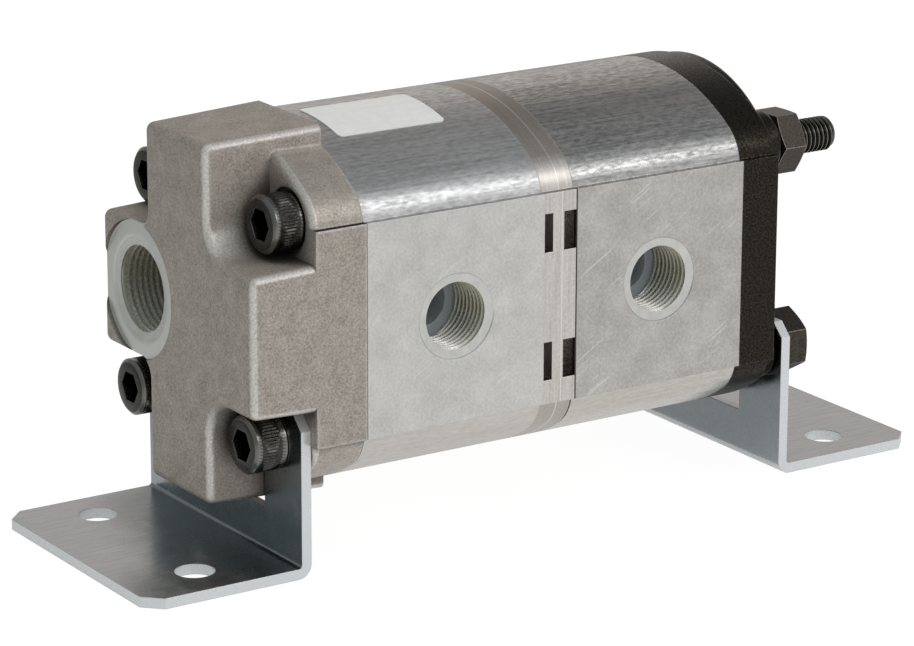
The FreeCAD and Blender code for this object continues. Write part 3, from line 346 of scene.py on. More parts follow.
@dataclass(frozen=True)
class CastAluminium(Finish):
    """Shot-blasted aluminium casting with a machined port: dull warm grey, grainy, with painted highlights
    on its rounds and painted shade beside pieces.
    """

    dark: str = "#a39a91"
    light: str = "#d6cec5"
    machined: str = "#dcddd7"
    # Colour of the painted highlights on edges and rounds that face the lit side, partly edge wear
    edge: str = "#f8f5f0"
    shade: str = "#5d5650"
    # Dark colour of the painted shadow line on the ledges above and below the side flats
    groove: str = "#3b3632"
    # Blasting grit leaves a grain of about 0.2 mm, drawn coarser so that it shows
    grain: float = 0.55
    mottle: float = 5.0
    mottle_share: float = 0.3
    port_centre: tuple[float, float, float] = (0.0, 17.4, 69.3)
    spotface_radius: float = 19.4
    spotface_start: float = -97.2
    bore_radius: float = 15.2
    flange_front: float = -78.9
    spine_side: float = 23.6
    shade_reach: float = 8.0
    edge_radius: float = 1.4
    edge_wear_and_highlight: tuple[float, float] = (0.4, 0.8)
    highlight_facing: tuple[float, float] = (0.2, 0.6)
    rim_lean: float = 0.12
    rough: tuple[float, float] = (0.74, 0.6)
    rough_machined: float = 0.34
    smoother: float = 0.2
    metal: float = 0.75
    metal_machined: float = 0.7
    relief: float = 0.05

    def material(self) -> bpy.types.Material:
        """Make the material.

        Returns:
            The material, with its nodes linked.
        """
        surface = Surface(self.name)
        normal, edge = surface.round_edges(self.edge_radius)
        from_port = surface.distance(self.port_centre, (0, 1, 1))
        parts = surface.add("ShaderNodeSeparateXYZ", {0: surface.place}).outputs
        along = surface.times(parts["X"], MM_PER_M)
        on_ring = surface.times(surface.within(from_port, self.spotface_radius),
                                surface.within(along, self.spotface_start))
        machined = surface.either(on_ring, surface.within(from_port, self.bore_radius))
        raised = surface.either(surface.within(along, self.flange_front),
                                surface.within(surface.distance(ORIGIN, (0, 1, 0)), self.spine_side))
        fillets = surface.fillets()
        rims = surface.times(surface.over(surface.facing("X"), self.rim_lean), fillets)
        rounds = surface.either(surface.times(raised, fillets), rims)
        free = surface.open_air(self.shade_reach)
        sideways = surface.fade(surface.facing("Y"), *self.highlight_facing)
        # Painted highlight: edges and rounds that face the near side and lie open towards the lamps
        bright = surface.times(surface.either(edge, rounds), surface.times(free, sideways))
        grain = surface.cloud(self.grain, detail=3.0)
        mottle = surface.cloud(self.mottle, detail=3.0)
        skin = surface.paint(surface.blend(self.mottle_share, grain, mottle), self.dark, self.light)
        speckled = surface.times(bright, surface.blend(grain, *self.edge_wear_and_highlight))
        # Painted highlight on edges and rounds, broken up by the grain
        skin = surface.paint(speckled, skin, self.edge)
        skin = surface.paint(surface.outside(free), skin, self.shade)
        # Painted shadow line on the ledges, off the raised parts
        skin = surface.paint(surface.times(surface.ledge(), surface.outside(raised)), skin, self.groove)
        surface.feed(Base_Color=surface.paint(machined, skin, self.machined))
        arched = surface.times(fillets, surface.outside(raised))
        smooth = surface.times(surface.either(bright, arched), self.smoother)
        dull = surface.less(surface.blend(grain, *self.rough), smooth)
        surface.feed(Roughness=surface.blend(machined, dull, self.rough_machined),
                     Metallic=surface.blend(machined, self.metal, self.metal_machined))
        surface.emboss(surface.times(grain, surface.outside(machined)), self.relief, normal)
        return surface.material


@dataclass(frozen=True)
class ExtrudedAluminium(Finish):
    """Extruded aluminium profile: streaked and speckled arches, milled flats and ports on the sides."""

    arch_dark: str = "#b2b2b2"
    arch_light: str = "#ececed"
    land: str = "#e9e8e5"
    land_dark: str = "#cac9c5"
    port: str = "#dfe3e4"
    scratch: str = "#fbfbfa"
    # Colour of broken edges, partly wear and partly a painted highlight
    edge: str = "#ececea"
    # Dark colour of the joint line, and of the painted shadow line on the ledges
    groove: str = "#4a4744"
    # Warm light grey painted on faces that look down, a painted reflection of the floor
    under: str = "#d9d4cc"
    # Pale blue-grey painted deep in the ports, a painted reflection of bluish light in the bore
    depth: str = "#dfe6ec"
    depth_start: float = 30.2
    # The die leaves streaks of about 0.1 mm, drawn wider so that they show, as the scratches are
    streak: float = 0.7
    streak_length: float = 60.0
    speckle: float = 0.9
    speckle_length: float = 2.6
    speckle_share: float = 0.55
    underside_reflection: float = 0.75
    relief: float = 0.013
    arch_rough: float = 0.38
    rough_step: float = 0.06
    land_rough: tuple[float, float] = (0.38, 0.46)
    land_start: float = 43.85
    land_border: float = 0.05
    land_grain: float = 0.9
    fine_mottle: float = 0.8
    wide_mottle: float = 7.0
    wide_share: float = 0.45
    port_centre: tuple[float, float, float] = (-34.8, 0.0, 67.0)
    port_radius: float = 12.6
    port_metal: float = 0.1
    joint: float = -63.3
    joint_width: float = 0.16
    ledge_shadow: float = 0.35
    edge_radius: float = 0.35
    edge_wear_and_highlight: float = 0.4
    scratches: float = 0.25
    scratch_width: float = 0.45
    scratch_length: float = 45.0
    scratch_turn: float = 32.0
    scratch_patch: float = 14.0
    scratch_limit: float = 0.995

    def material(self) -> bpy.types.Material:
        """Make the material.

        Returns:
            The material, with its nodes linked.
        """
        surface = Surface(self.name)
        normal, edge = surface.round_edges(self.edge_radius)
        sideways = surface.distance(ORIGIN, (0, 1, 0))
        in_port = surface.within(surface.distance(self.port_centre, (1, 0, 1)), self.port_radius)
        off_land = surface.within(sideways, self.land_start, self.land_border)
        arch = surface.times(off_land, surface.outside(in_port))
        inside = surface.times(in_port, off_land)
        streak = surface.cloud(self.streak, stretch=(self.streak_length, 1, 1))
        speckle = surface.cloud(self.speckle, stretch=(self.speckle_length, 1, 1), spread=0.16, detail=3.0)
        marks = surface.blend(self.speckle_share, streak, speckle)
        below = surface.underside()
        rolled = surface.paint(marks, self.arch_dark, self.arch_light)
        # Painted reflection of the floor on faces that look down
        rolled = surface.paint(surface.times(below, self.underside_reflection), rolled, self.under)
        mottle = surface.blend(self.wide_share, surface.cloud(self.fine_mottle, detail=4.0),
                               surface.cloud(self.wide_mottle, detail=4.0))
        milled = surface.paint(mottle, self.land_dark, self.land)
        lines = surface.cloud(self.scratch_width, stretch=(self.scratch_length, 1, 1), spread=0.24,
                              detail=0.0, turn=self.scratch_turn)
        patches = surface.cloud(self.scratch_patch, spread=0.1, detail=0.0)
        cuts = surface.times(surface.over(lines, self.scratch_limit),
                             surface.times(patches, self.scratches))
        milled = surface.paint(cuts, milled, self.scratch)
        # Painted reflection: the deep part of the ports turns pale blue-grey
        deep = surface.paint(surface.within(sideways, self.depth_start), self.port, self.depth)
        colour = surface.paint(inside, surface.paint(arch, milled, rolled), deep)
        # Edges painted lighter, partly wear and partly a painted highlight
        colour = surface.paint(surface.times(edge, self.edge_wear_and_highlight), colour, self.edge)
        on_top = surface.times(arch, surface.outside(below))
        at_joint = surface.within(surface.distance((self.joint, 0.0, 0.0), (1, 0, 0)), self.joint_width)
        at_joint = surface.times(at_joint, surface.outside(on_top))
        # Dark joint line, and a painted shadow line on the ledges above and below the flats
        dark = surface.either(at_joint, surface.times(surface.ledge(), self.ledge_shadow))
        surface.feed(Base_Color=surface.paint(dark, colour, self.groove))
        rough_arch = surface.blend(speckle, self.arch_rough + self.rough_step,
                                   self.arch_rough - self.rough_step)
        rough_land = surface.cloud(self.land_grain, *self.land_rough, detail=3.0)
        surface.feed(Roughness=surface.blend(arch, rough_land, rough_arch),
                     Metallic=surface.blend(inside, 1.0, self.port_metal))
        surface.emboss(surface.times(marks, on_top), self.relief, normal)
        return surface.material


@dataclass(frozen=True)
class MachinedPlate(Finish):
    """Milled aluminium plate: warmer than the profiles, with a painted highlight along the parting line in
    its middle.
    """

    dark: str = "#c3bdb6"
    light: str = "#ece8e3"
    # Colour of the painted highlight on edges and along the parting line
    bright: str = "#f7f5f2"
    # Darker brown-grey painted on faces that lie level, on top and underneath
    stain: str = "#8d847b"
    # Dark colour of the painted shadow line on the ledges
    groove: str = "#5b5651"
    # The cutter leaves lines of about 0.1 mm, drawn wider so that they show
    line: float = 0.6
    mottle: float = 0.8
    middle: float = -0.5
    middle_width: float = 0.12
    top_level: tuple[float, float] = (0.7, 0.98)
    top_darkening: float = 0.6
    under_lean: float = 0.1
    under_darkening: float = 0.4
    line_length: float = 30.0
    edge_radius: float = 0.35
    edge_wear_and_highlight: float = 0.6
    ledge_shadow: float = 0.6
    rough: tuple[float, float] = (0.3, 0.42)
    relief: float = 0.008

    def material(self) -> bpy.types.Material:
        """Make the material.

        Returns:
            The material, with its nodes linked.
        """
        surface = Surface(self.name, Metallic=1.0)
        normal, edge = surface.round_edges(self.edge_radius)
        lines = surface.cloud(self.line, stretch=(1, self.line_length, self.line_length), spread=0.25)
        marks = surface.blend(0.5, lines, surface.cloud(self.mottle, detail=4.0))
        skin = surface.paint(marks, self.dark, self.light)
        level = surface.facing("Z")
        top = surface.fade(level, *self.top_level, high=self.top_darkening)
        below = surface.times(surface.underside(), surface.over(level, self.under_lean))
        # Faces that lie level are painted darker, on top and underneath
        skin = surface.paint(surface.either(top, surface.times(below, self.under_darkening)), skin, self.stain)
        parting = surface.within(surface.distance((self.middle, 0.0, 0.0), (1, 0, 0)), self.middle_width)
        # Painted highlight along the parting line, and edges painted lighter, partly wear and partly a
        # painted highlight
        shine = surface.either(surface.times(edge, self.edge_wear_and_highlight), parting)
        skin = surface.paint(shine, skin, self.bright)
        # Painted shadow line on the ledges above and below the flats
        groove = surface.times(surface.ledge(), self.ledge_shadow)
        surface.feed(Base_Color=surface.paint(groove, skin, self.groove),
                     Roughness=surface.cloud(self.mottle, *self.rough, detail=3.0))
        surface.emboss(lines, self.relief, normal)
        return surface.material


@dataclass(frozen=True)
class BlackIron(Finish):
    """Blackened iron casting: nearly black, grainy, with brown-grey rubs on its edges."""

    dark: str = "#221f1b"
    light: str = "#3f3b35"
    rub: str = "#7d766b"
    grain: float = 0.6
    rub_grain: float = 1.2
    rub_amount: float = 0.7
    edge_radius: float = 0.5
    rough: tuple[float, float] = (0.38, 0.24)
    relief: float = 0.016

    def material(self) -> bpy.types.Material:
        """Make the material.

        Returns:
            The material, with its nodes linked.
        """
        surface = Surface(self.name, Metallic=1.0)
        normal, edge = surface.round_edges(self.edge_radius)
        grain = surface.cloud(self.grain, spread=0.14, detail=3.0)
        specks = surface.cloud(self.rub_grain, spread=0.12, detail=3.0)
        rubbed = surface.times(edge, surface.times(specks, self.rub_amount))
        skin = surface.paint(grain, self.dark, self.light)
        surface.feed(Base_Color=surface.paint(rubbed, skin, self.rub),
                     Roughness=surface.blend(grain, *self.rough))
        surface.emboss(grain, self.relief, normal)
        return surface.material


@dataclass(frozen=True)
class OxidisedSteel(Finish):
    """Steel with an oiled oxide skin, as on bolts and nuts: dark with a satin gloss, and edges and knurl
    crests painted lighter, partly rubbed and partly painted highlight.
    """

    dark: str = "#343433"
    light: str = "#52514e"
    # Colour of rubbed edges and knurl crests, which is also a painted highlight
    edge: str = "#a9a7a1"
    edge_rub_and_highlight: float = 0.5
    rough: float = 0.24
    rough_step: tuple[float, float] = (-0.06, 0.08)
    metal: float = 0.85
    broken: float = 0.07
    crest_rub_and_highlight: float = 0.0
    mottle: float = 0.5
    relief: float = 0.006

    def material(self) -> bpy.types.Material:
        """Make the material.

        Returns:
            The material, with its nodes linked.
        """
        surface = Surface(self.name, Metallic=self.metal)
        normal, edge = surface.round_edges(self.broken)
        mottle = surface.cloud(self.mottle, detail=3.0)
        # Edges and knurl crests painted lighter: partly rubbed, partly a painted highlight
        rubbed = surface.either(surface.times(edge, self.edge_rub_and_highlight),
                                surface.times(surface.crests(), self.crest_rub_and_highlight))
        skin = surface.paint(mottle, self.dark, self.light)
        surface.feed(Base_Color=surface.paint(rubbed, skin, self.edge),
                     Roughness=surface.cloud(self.mottle, *(self.rough + step for step in self.rough_step)))
        surface.emboss(mottle, self.relief, normal)
        return surface.material


@dataclass(frozen=True)
class ZincPlate(Finish):
    """Bright zinc plate on rolled sheet: cool grey, cloudy gloss, pale sheared edges, a few rust specks,
    painted shade and reflection under the cover.
    """

    dark: str = "#b0b4b8"
    light: str = "#d2d6da"
    # Colour of broken edges, partly wear and partly a painted highlight
    edge: str = "#e6e8ea"
    rust: str = "#7a5a44"
    # Dark teal painted under and beside the cover: painted shade and a painted reflection of the cover's
    # shaded underside
    shade: str = "#5d686a"
    sheared: str = "#eff1f2"
    thickness: float = 2.9
    shade_reach: float = 34.0
    shade_side: tuple[float, float, float] = (0.9, 0.0, 0.3)
    shade_and_reflection_amount: float = 0.7
    sheared_amount: float = 0.9
    sheared_metal: float = 0.4
    sheared_lean: float = 0.3
    # Rolling leaves lines of about 0.1 mm, drawn wider so that they show
    rolling: float = 0.8
    rolling_length: float = 12.0
    cloud_size: float = 7.0
    speck: float = 2.6
    speck_limit: float = 0.06
    speck_amount: float = 0.35
    edge_radius: float = 0.35
    edge_wear_and_highlight: float = 0.5
    rough: tuple[float, float] = (0.2, 0.33)
    relief: float = 0.003

    def material(self) -> bpy.types.Material:
        """Make the material.

        Returns:
            The material, with its nodes linked.
        """
        surface = Surface(self.name)
        normal, edge = surface.round_edges(self.edge_radius)
        rolled = surface.cloud(self.rolling, stretch=(self.rolling_length, 1, 1), detail=3.0)
        cloudy = surface.cloud(self.cloud_size, detail=5.0)
        skin = surface.paint(surface.blend(0.5, rolled, cloudy), self.dark, self.light)
        # Edges painted lighter, partly wear and partly a painted highlight
        skin = surface.paint(surface.times(edge, self.edge_wear_and_highlight), skin, self.edge)
        free = surface.open_air(self.shade_reach, self.shade_side)
        ends = surface.times(surface.over(surface.facing("X"), self.sheared_lean),
                             surface.within(surface.distance(ORIGIN, (0, 0, 1)), self.thickness))
        sheared = surface.either(surface.over(surface.facing("Y"), self.sheared_lean), ends)
        # Painted shade and painted reflection of the cover where it overhangs the sheet
        skin = surface.paint(surface.times(surface.outside(free), self.shade_and_reflection_amount), skin, self.shade)
        skin = surface.paint(surface.times(sheared, self.sheared_amount), skin, self.sheared)
        specks = surface.cloud(self.speck, 1.0, 0.0, spread=0.3)
        spots = surface.within(specks, self.speck_limit, self.speck_limit)
        surface.feed(Base_Color=surface.paint(surface.times(spots, self.speck_amount), skin, self.rust),
                     Roughness=surface.blend(cloudy, *self.rough),
                     Metallic=surface.blend(sheared, 1.0, self.sheared_metal))
        surface.emboss(rolled, self.relief, normal)
        return surface.material


@dataclass(frozen=True)
class LabelFoil(Finish):
    """Blank self-adhesive foil: satin, nearly white and faintly mottled."""

    white: str = "#f1f1ee"
    stain: str = "#a7a7a6"
    mottle: float = 2.5
    stain_amount: float = 0.12
    skin: float = 0.6
    rough: float = 0.38
    relief: float = 0.004

    def material(self) -> bpy.types.Material:
        """Make the material.

        Returns:
            The material, with its nodes linked.
        """
        surface = Surface(self.name, Metallic=0.0, Roughness=self.rough)
        mottle = surface.cloud(self.mottle, 0.0, self.stain_amount)
        surface.feed(Base_Color=surface.paint(mottle, self.white, self.stain))
        surface.emboss(surface.cloud(self.skin), self.relief)
        return surface.material


@dataclass(frozen=True)
class TurnedMetal(Finish):
    """Metal turned or ground round an axis along X or Y: fine rings and a clean gloss."""

    dark: str = "#9a9a9a"
    light: str = "#c4c4c4"
    rough: float = 0.25
    rough_step: tuple[float, float] = (-0.05, 0.08)
    rough_grain: float = 1.0
    ring: float = 0.15
    ring_length: float = 30.0
    metal: float = 1.0
    stain: float = 3.0
    relief: float = 0.004

    def material(self) -> bpy.types.Material:
        """Make the material.

        Returns:
            The material, with its nodes linked.
        """
        surface = Surface(self.name, Metallic=self.metal)
        rings = surface.cloud(self.ring, stretch=(1, self.ring_length, self.ring_length))
        marks = surface.blend(0.5, rings, surface.cloud(self.stain, detail=3.0))
        surface.feed(Base_Color=surface.paint(marks, self.dark, self.light),
                     Roughness=surface.cloud(self.rough_grain,
                                             *(self.rough + step for step in self.rough_step)))
        surface.emboss(rings, self.relief)
        return surface.material


@dataclass(frozen=True)
class CutThread(Finish):
    """Tapped aluminium wet with a film of oil: olive crests, with painted light on the grooves and on walls
    that face up.
    """

    crest: str = "#b3b09d"
    # Grooves painted lighter than the crests, painted light that evens out the shade in them
    groove: str = "#f2efdf"
    lit: str = "#fdfdfa"
    lit_amount: float = 0.85
    lit_lean: tuple[float, float] = (0.0, 0.7)
    rough: float = 0.24
    rough_step: tuple[float, float] = (-0.05, 0.08)
    rough_grain: float = 1.0
    metal: float = 0.4
    stain: float = 3.0
    stain_amount: float = 0.25
    skin: float = 0.3
    relief: float = 0.004

    def material(self) -> bpy.types.Material:
        """Make the material.

        Returns:
            The material, with its nodes linked.
        """
        surface = Surface(self.name, Metallic=self.metal)
        # Painted light: grooves lighter than crests
        skin = surface.paint(surface.fade(surface.sharpness, *GROOVE_SHARPNESS), self.crest, self.groove)
        stain = surface.cloud(self.stain, 0.0, self.stain_amount, detail=3.0)
        skin = surface.paint(stain, skin, self.crest)
        # Painted light on walls that face up
        floor = surface.fade(surface.upward(), *self.lit_lean, high=self.lit_amount)
        surface.feed(Base_Color=surface.paint(floor, skin, self.lit),
                     Roughness=surface.cloud(self.rough_grain,
                                             *(self.rough + step for step in self.rough_step)))
        surface.emboss(surface.cloud(self.skin), self.relief)
        return surface.material


@dataclass(frozen=True)
class MouldedRubber(Finish):
    """Moulded nitrile rubber: black and matt with a fine skin."""

    dark: str = "#161616"
    light: str = "#262626"
    grain: float = 0.8
    gloss_grain: float = 1.5
    rough: tuple[float, float] = (0.55, 0.7)
    relief: float = 0.01

    def material(self) -> bpy.types.Material:
        """Make the material.

        Returns:
            The material, with its nodes linked.
        """
        surface = Surface(self.name, Metallic=0.0)
        skin = surface.cloud(self.grain)
        surface.feed(Base_Color=surface.paint(skin, self.dark, self.light),
                     Roughness=surface.cloud(self.gloss_grain, *self.rough))
        surface.emboss(skin, self.relief)
        return surface.material


CAST = CastAluminium("blasted_cast_aluminium")
EXTRUDED = ExtrudedAluminium("drawn_aluminium_profile")
EXTRUDED_HANDLED = ExtrudedAluminium(
    "handled_aluminium_profile", arch_dark="#898989", arch_light="#dedddc", land="#dbd8d3",
    land_dark="#b2afaa", arch_rough=0.28, port_centre=(32.6, 0.0, 67.0), joint=4.1, joint_width=0.45,
    scratches=0.45)
PLATE = MachinedPlate("milled_aluminium_plate")
BLACK_IRON = BlackIron("blackened_cast_iron")
BOLT_STEEL = OxidisedSteel("oxidised_bolt_steel", metal=1.0)
KNURLED_STEEL = OxidisedSteel("oxidised_knurled_steel", metal=1.0, crest_rub_and_highlight=0.6)
NUT_STEEL = OxidisedSteel("oxidised_nut_steel", dark="#322f2a", light="#575149", edge="#d8d4cb", edge_rub_and_highlight=0.9,
                          rough=0.34, broken=0.3)
ZINC = ZincPlate("zinc_plate")
FOIL = LabelFoil("label_foil")
CUT_THREAD = CutThread("cut_thread")
FACED = TurnedMetal("faced_port_rim", dark="#cdcec9", light="#e6e6e2", rough=0.38, metal=0.9)
GROUND_STEEL = TurnedMetal("ground_steel")
BEARING_METAL = TurnedMetal("turned_bearing_aluminium", dark="#a2a2a2", light="#c8c8c8", rough=0.32)
BRONZE = TurnedMetal("sintered_bush_bronze", dark="#8a6a38", light="#b48e52", rough=0.3)
RUBBER = MouldedRubber("nitrile_rubber")


# Materials made so far, by the name of their finish
MATERIALS: dict[str, bpy.types.Material] = {}


# Mesh helpers


def dress(node: bpy.types.Object, finish: Finish) -> None:
    """Put one finish on every material slot of a piece.

    Args:
        node: Piece of the frame or a new one.
        finish: What it is made of.
    """
    if finish.name not in MATERIALS:
        MATERIALS[finish.name] = finish.material()
    material = MATERIALS[finish.name]
    if not node.data.materials:
        node.data.materials.append(material)
    for index in range(len(node.data.materials)):
        node.data.materials[index] = material


def new_object(name: str, mesh: Shape) -> bpy.types.Object:
    """Make an object in the scene from a bmesh, and free the bmesh.

    Args:
        name: Name of the object.
        mesh: Its shape in metres, in place.

    Returns:
        The new object.
    """
    data = bpy.data.meshes.new(name)
    mesh.to_mesh(data)
    mesh.free()
    made = bpy.data.objects.new(name, data)
    bpy.context.scene.collection.objects.link(made)
    return made


def new_piece(name: str, mesh: Shape, finish: Finish,
              smooth_under: float = 30.0) -> bpy.types.Object:
    """Make a piece that rides on the housing from a bmesh, and free the bmesh.

    Args:
        name: Name of the piece.
        mesh: Its shape in metres, in place.
        finish: What it is made of.
        smooth_under: Angle in degrees under which edges are shaded smooth.

    Returns:
        The new piece.
    """
    bmesh.ops.recalc_face_normals(mesh, faces=mesh.faces)
    for face in mesh.faces:
        face.smooth = True
    limit = math.radians(smooth_under)
    for edge in mesh.edges:
        edge.smooth = len(edge.link_faces) == 2 and edge.calc_face_angle() < limit
    piece = new_object(name, mesh)
    dress(piece, finish)
    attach(piece, WHOLE_HOUSING)
    return piece


def take_in(mesh: Shape, other: Shape) -> None:
    """Add another bmesh to a bmesh, and free the other.

    Args:
        mesh: Takes the other shape.
        other: Shape to add.
    """
    data = bpy.data.meshes.new("passing")
    other.to_mesh(data)
    other.free()
    mesh.from_mesh(data)
    bpy.data.meshes.remove(data)


def widen(vert: bmesh.types.BMVert, share: float) -> None:
    """Move a point away from the X axis to a share of its distance."""
    vert.co.y *= share
    vert.co.z *= share


def section(mesh: Shape, outline: Iterable[tuple[float, float]], closed: bool = True) -> list:
    """Section of a turned shape, in the half plane beside the X axis.

    Args:
        mesh: Takes the section.
        outline: Place along X and radius of each corner, in millimetres.
        closed: Whether the last corner joins the first.

    Returns:
        Its corners and edges, for a spin.
    """
    verts = [mesh.verts.new((across * MM, radius * MM, 0)) for across, radius in outline]
    pairs = list(zip(verts, verts[1:])) + ([(verts[-1], verts[0])] if closed else [])
    return verts + [mesh.edges.new(pair) for pair in pairs]


def ring_of(mesh: Shape, segments: int, radius: float) -> list[bmesh.types.BMEdge]:
    """Circle of edges about X at the origin.

    Args:
        mesh: Takes the circle.
        segments: Number of its edges.
        radius: Its radius in millimetres.

    Returns:
        The edges.
    """
    upright = Matrix.Rotation(math.pi / 2, 4, "Y")
    made = bmesh.ops.create_circle(mesh, cap_ends=False, segments=segments, radius=radius * MM,
                                   matrix=upright)
    return list({edge for vert in made["verts"] for edge in vert.link_edges})


def carry_on(mesh: Shape, ring: list[bmesh.types.BMEdge], forward: float, growth: float,
             every_other: float | None = None) -> list[bmesh.types.BMEdge]:
    """Extrude a ring about X to the next one.

    Args:
        mesh: Holds the ring.
        ring: Edges of the ring to start from.
        forward: Way along X in millimetres.
        growth: New radius over the old one.
        every_other: Growth of every second point instead, if it differs.

    Returns:
        The edges of the new ring.
    """
    made = bmesh.ops.extrude_edge_only(mesh, edges=ring)["geom"]
    verts = [item for item in made if isinstance(item, bmesh.types.BMVert)]
    verts.sort(key=lambda vert: math.atan2(vert.co.z, vert.co.y))
    for index, vert in enumerate(verts):
        widen(vert, growth if every_other is None or index % 2 == 0 else every_other)
    bmesh.ops.translate(mesh, verts=verts, vec=(forward * MM, 0, 0))
    return [item for item in made if isinstance(item, bmesh.types.BMEdge)
            and all(vert in verts for vert in item.verts)]


@dataclass(frozen=True)
class Thread:
    """Sizes of a screw thread in millimetres."""

    pitch: float
    major: float
    minor: float
    steps: int = 36
    fade: float = 0.4
    rim: float = 0.3
    lip: float = 0.8
    lip_length: float = 0.45
    tuck: float = 0.1
    back: float = 0.2
    back_tuck: float = 0.14
    root_share: float = 0.43
    crest_share: float = 0.10
    sunk: float = 0.12
    rim_segments: int = 96

    def wind(self, mesh: Shape, profile: list, turns: float) -> None:
        """Spin a section about X along the thread's helix.

        Args:
            mesh: Holds the section.
            profile: The section's corners and edges.
            turns: Number of turns.
        """
        bmesh.ops.spin(mesh, geom=profile, cent=ORIGIN, axis=(1, 0, 0),
                       dvec=(self.pitch / self.steps * MM, 0, 0), angle=FULL_TURN * turns,
                       steps=round(self.steps * turns), use_merge=False)

    def ridge(self, length: float) -> Shape:
        """Helical ridge on the wall of a bore along +X, from the origin inwards.

        Args:
            length: Length of the thread in millimetres.

        Returns:
            A closed shell.
        """
        mesh = bmesh.new()
        half_root = self.root_share * self.pitch
        half_crest = self.crest_share * self.pitch
        root = self.major + self.sunk
        turns = length / self.pitch
        profile = section(mesh, [(-half_root, root), (-half_crest, self.minor), (half_crest, self.minor),
                                 (half_root, root)])
        self.wind(mesh, profile, turns)
        bmesh.ops.holes_fill(mesh, edges=[edge for edge in mesh.edges if edge.is_boundary])
        for vert in mesh.verts:
            angle = math.atan2(vert.co.z, vert.co.y) / FULL_TURN
            along = angle + round(vert.co.x / (self.pitch * MM) - angle)
            faded = max(0.0, 1 - along / self.fade, 1 - (turns - along) / self.fade)
            radius = math.hypot(vert.co.y, vert.co.z)
            widen(vert, 1 + (root * MM / radius - 1) * min(1.0, faded))
        return mesh

    def lead_in(self, chamfer: float) -> Shape:
        """Shallow cone from the port's face to the first crest, about X and opening at the origin.

        Args:
            chamfer: Chamfer of the solid's bore, in millimetres.

        Returns:
            A closed shell.
        """
        mesh = bmesh.new()
        profile = section(mesh, [(self.rim, self.major + chamfer - self.rim + self.tuck),
                                 (self.lip, self.minor + self.sunk),
                                 (self.lip + self.lip_length, self.major - self.tuck),
                                 (chamfer + self.back, self.major + self.back_tuck)])
        bmesh.ops.spin(mesh, geom=profile, cent=ORIGIN, axis=(1, 0, 0), angle=FULL_TURN,
                       steps=self.rim_segments, use_merge=True)
        bmesh.ops.remove_doubles(mesh, verts=mesh.verts, dist=WELD)
        return mesh

    def rod(self, start: float, end: float, chamfer: float) -> Shape:
        """Threaded rod about X with a chamfered far end.

        Args:
            start: Where it starts along X, in millimetres.
            end: Where it ends.
            chamfer: Length of the chamfer at its end.

        Returns:
            A closed shell.
        """
        mesh = bmesh.new()
        crest = self.pitch / 8
        root = self.pitch / 5
        middle = (self.pitch + root) / 2
        before = start - self.pitch
        outline = [(0.0, self.minor), (root, self.minor), (middle - crest / 2, self.major),
                   (middle + crest / 2, self.major), (self.pitch, self.minor)]
        profile = section(mesh, [(before + across, radius) for across, radius in outline], closed=False)
        self.wind(mesh, profile, (end - start) / self.pitch + 2)
        bmesh.ops.remove_doubles(mesh, verts=mesh.verts, dist=THREAD_WELD)
        for place, inner in ((start, True), (end, False)):
            bmesh.ops.bisect_plane(mesh, geom=list(mesh.verts) + list(mesh.edges) + list(mesh.faces),
                                   plane_co=(place * MM, 0, 0), plane_no=(1, 0, 0),
                                   clear_inner=inner, clear_outer=not inner)
        for vert in mesh.verts:
            radius = math.hypot(vert.co.y, vert.co.z)
            allowed = (self.major - chamfer) * MM + (end * MM - vert.co.x)
            if radius > allowed:
                widen(vert, allowed / radius)
        bmesh.ops.holes_fill(mesh, edges=[edge for edge in mesh.edges if edge.is_boundary])
        return mesh


METRIC_TEN = Thread(pitch=1.5, major=5.0, minor=4.08)
INLET_THREAD = Thread(pitch=1.814, major=13.22, minor=12.06, steps=64)
OUTLET_THREAD = Thread(pitch=1.814, major=10.48, minor=9.32, steps=56)


# Sub-assemblies


class Facing(Enum):
    """Way in which a port opens."""

    INLET = "-X"
    OUTLET = "-Y"


@dataclass
class Port:
    """Cut thread and faced rim of one port."""

    name: str
    thread: Thread
    facing: Facing
    mouth: tuple[float, float, float]
    length: float
    chamfer: float
    start: float = 1.5

    def set_in(self, name: str, mesh: Shape, depth: float, finish: Finish) -> bpy.types.Object:
        """Put a shape about X into the port.

        Args:
            name: Name of the piece.
            mesh: Its shape, opening at the origin.
            depth: How far it lies behind the port's face, in millimetres.
            finish: What it is made of.

        Returns:
            The piece.
        """
        turn = Matrix.Identity(4)
        if self.facing is Facing.OUTLET:
            turn = Matrix.Rotation(math.pi / 2, 4, "Z")
        place = Matrix.Translation(Vector(self.mouth) * MM) @ turn @ Matrix.Translation((depth * MM, 0, 0))
        bmesh.ops.transform(mesh, matrix=place, verts=mesh.verts)
        return new_piece(name, mesh, finish)

    def build(self) -> bpy.types.Object:
        """Make the rim and the thread, pointing inwards from the mouth.

        Returns:
            The thread.
        """
        self.set_in(f"{self.name}_rim", self.thread.lead_in(self.chamfer), 0.0, FACED)
        ridge = self.thread.ridge(self.length - self.start)
        return self.set_in(f"{self.name}_thread", ridge, self.start, CUT_THREAD)


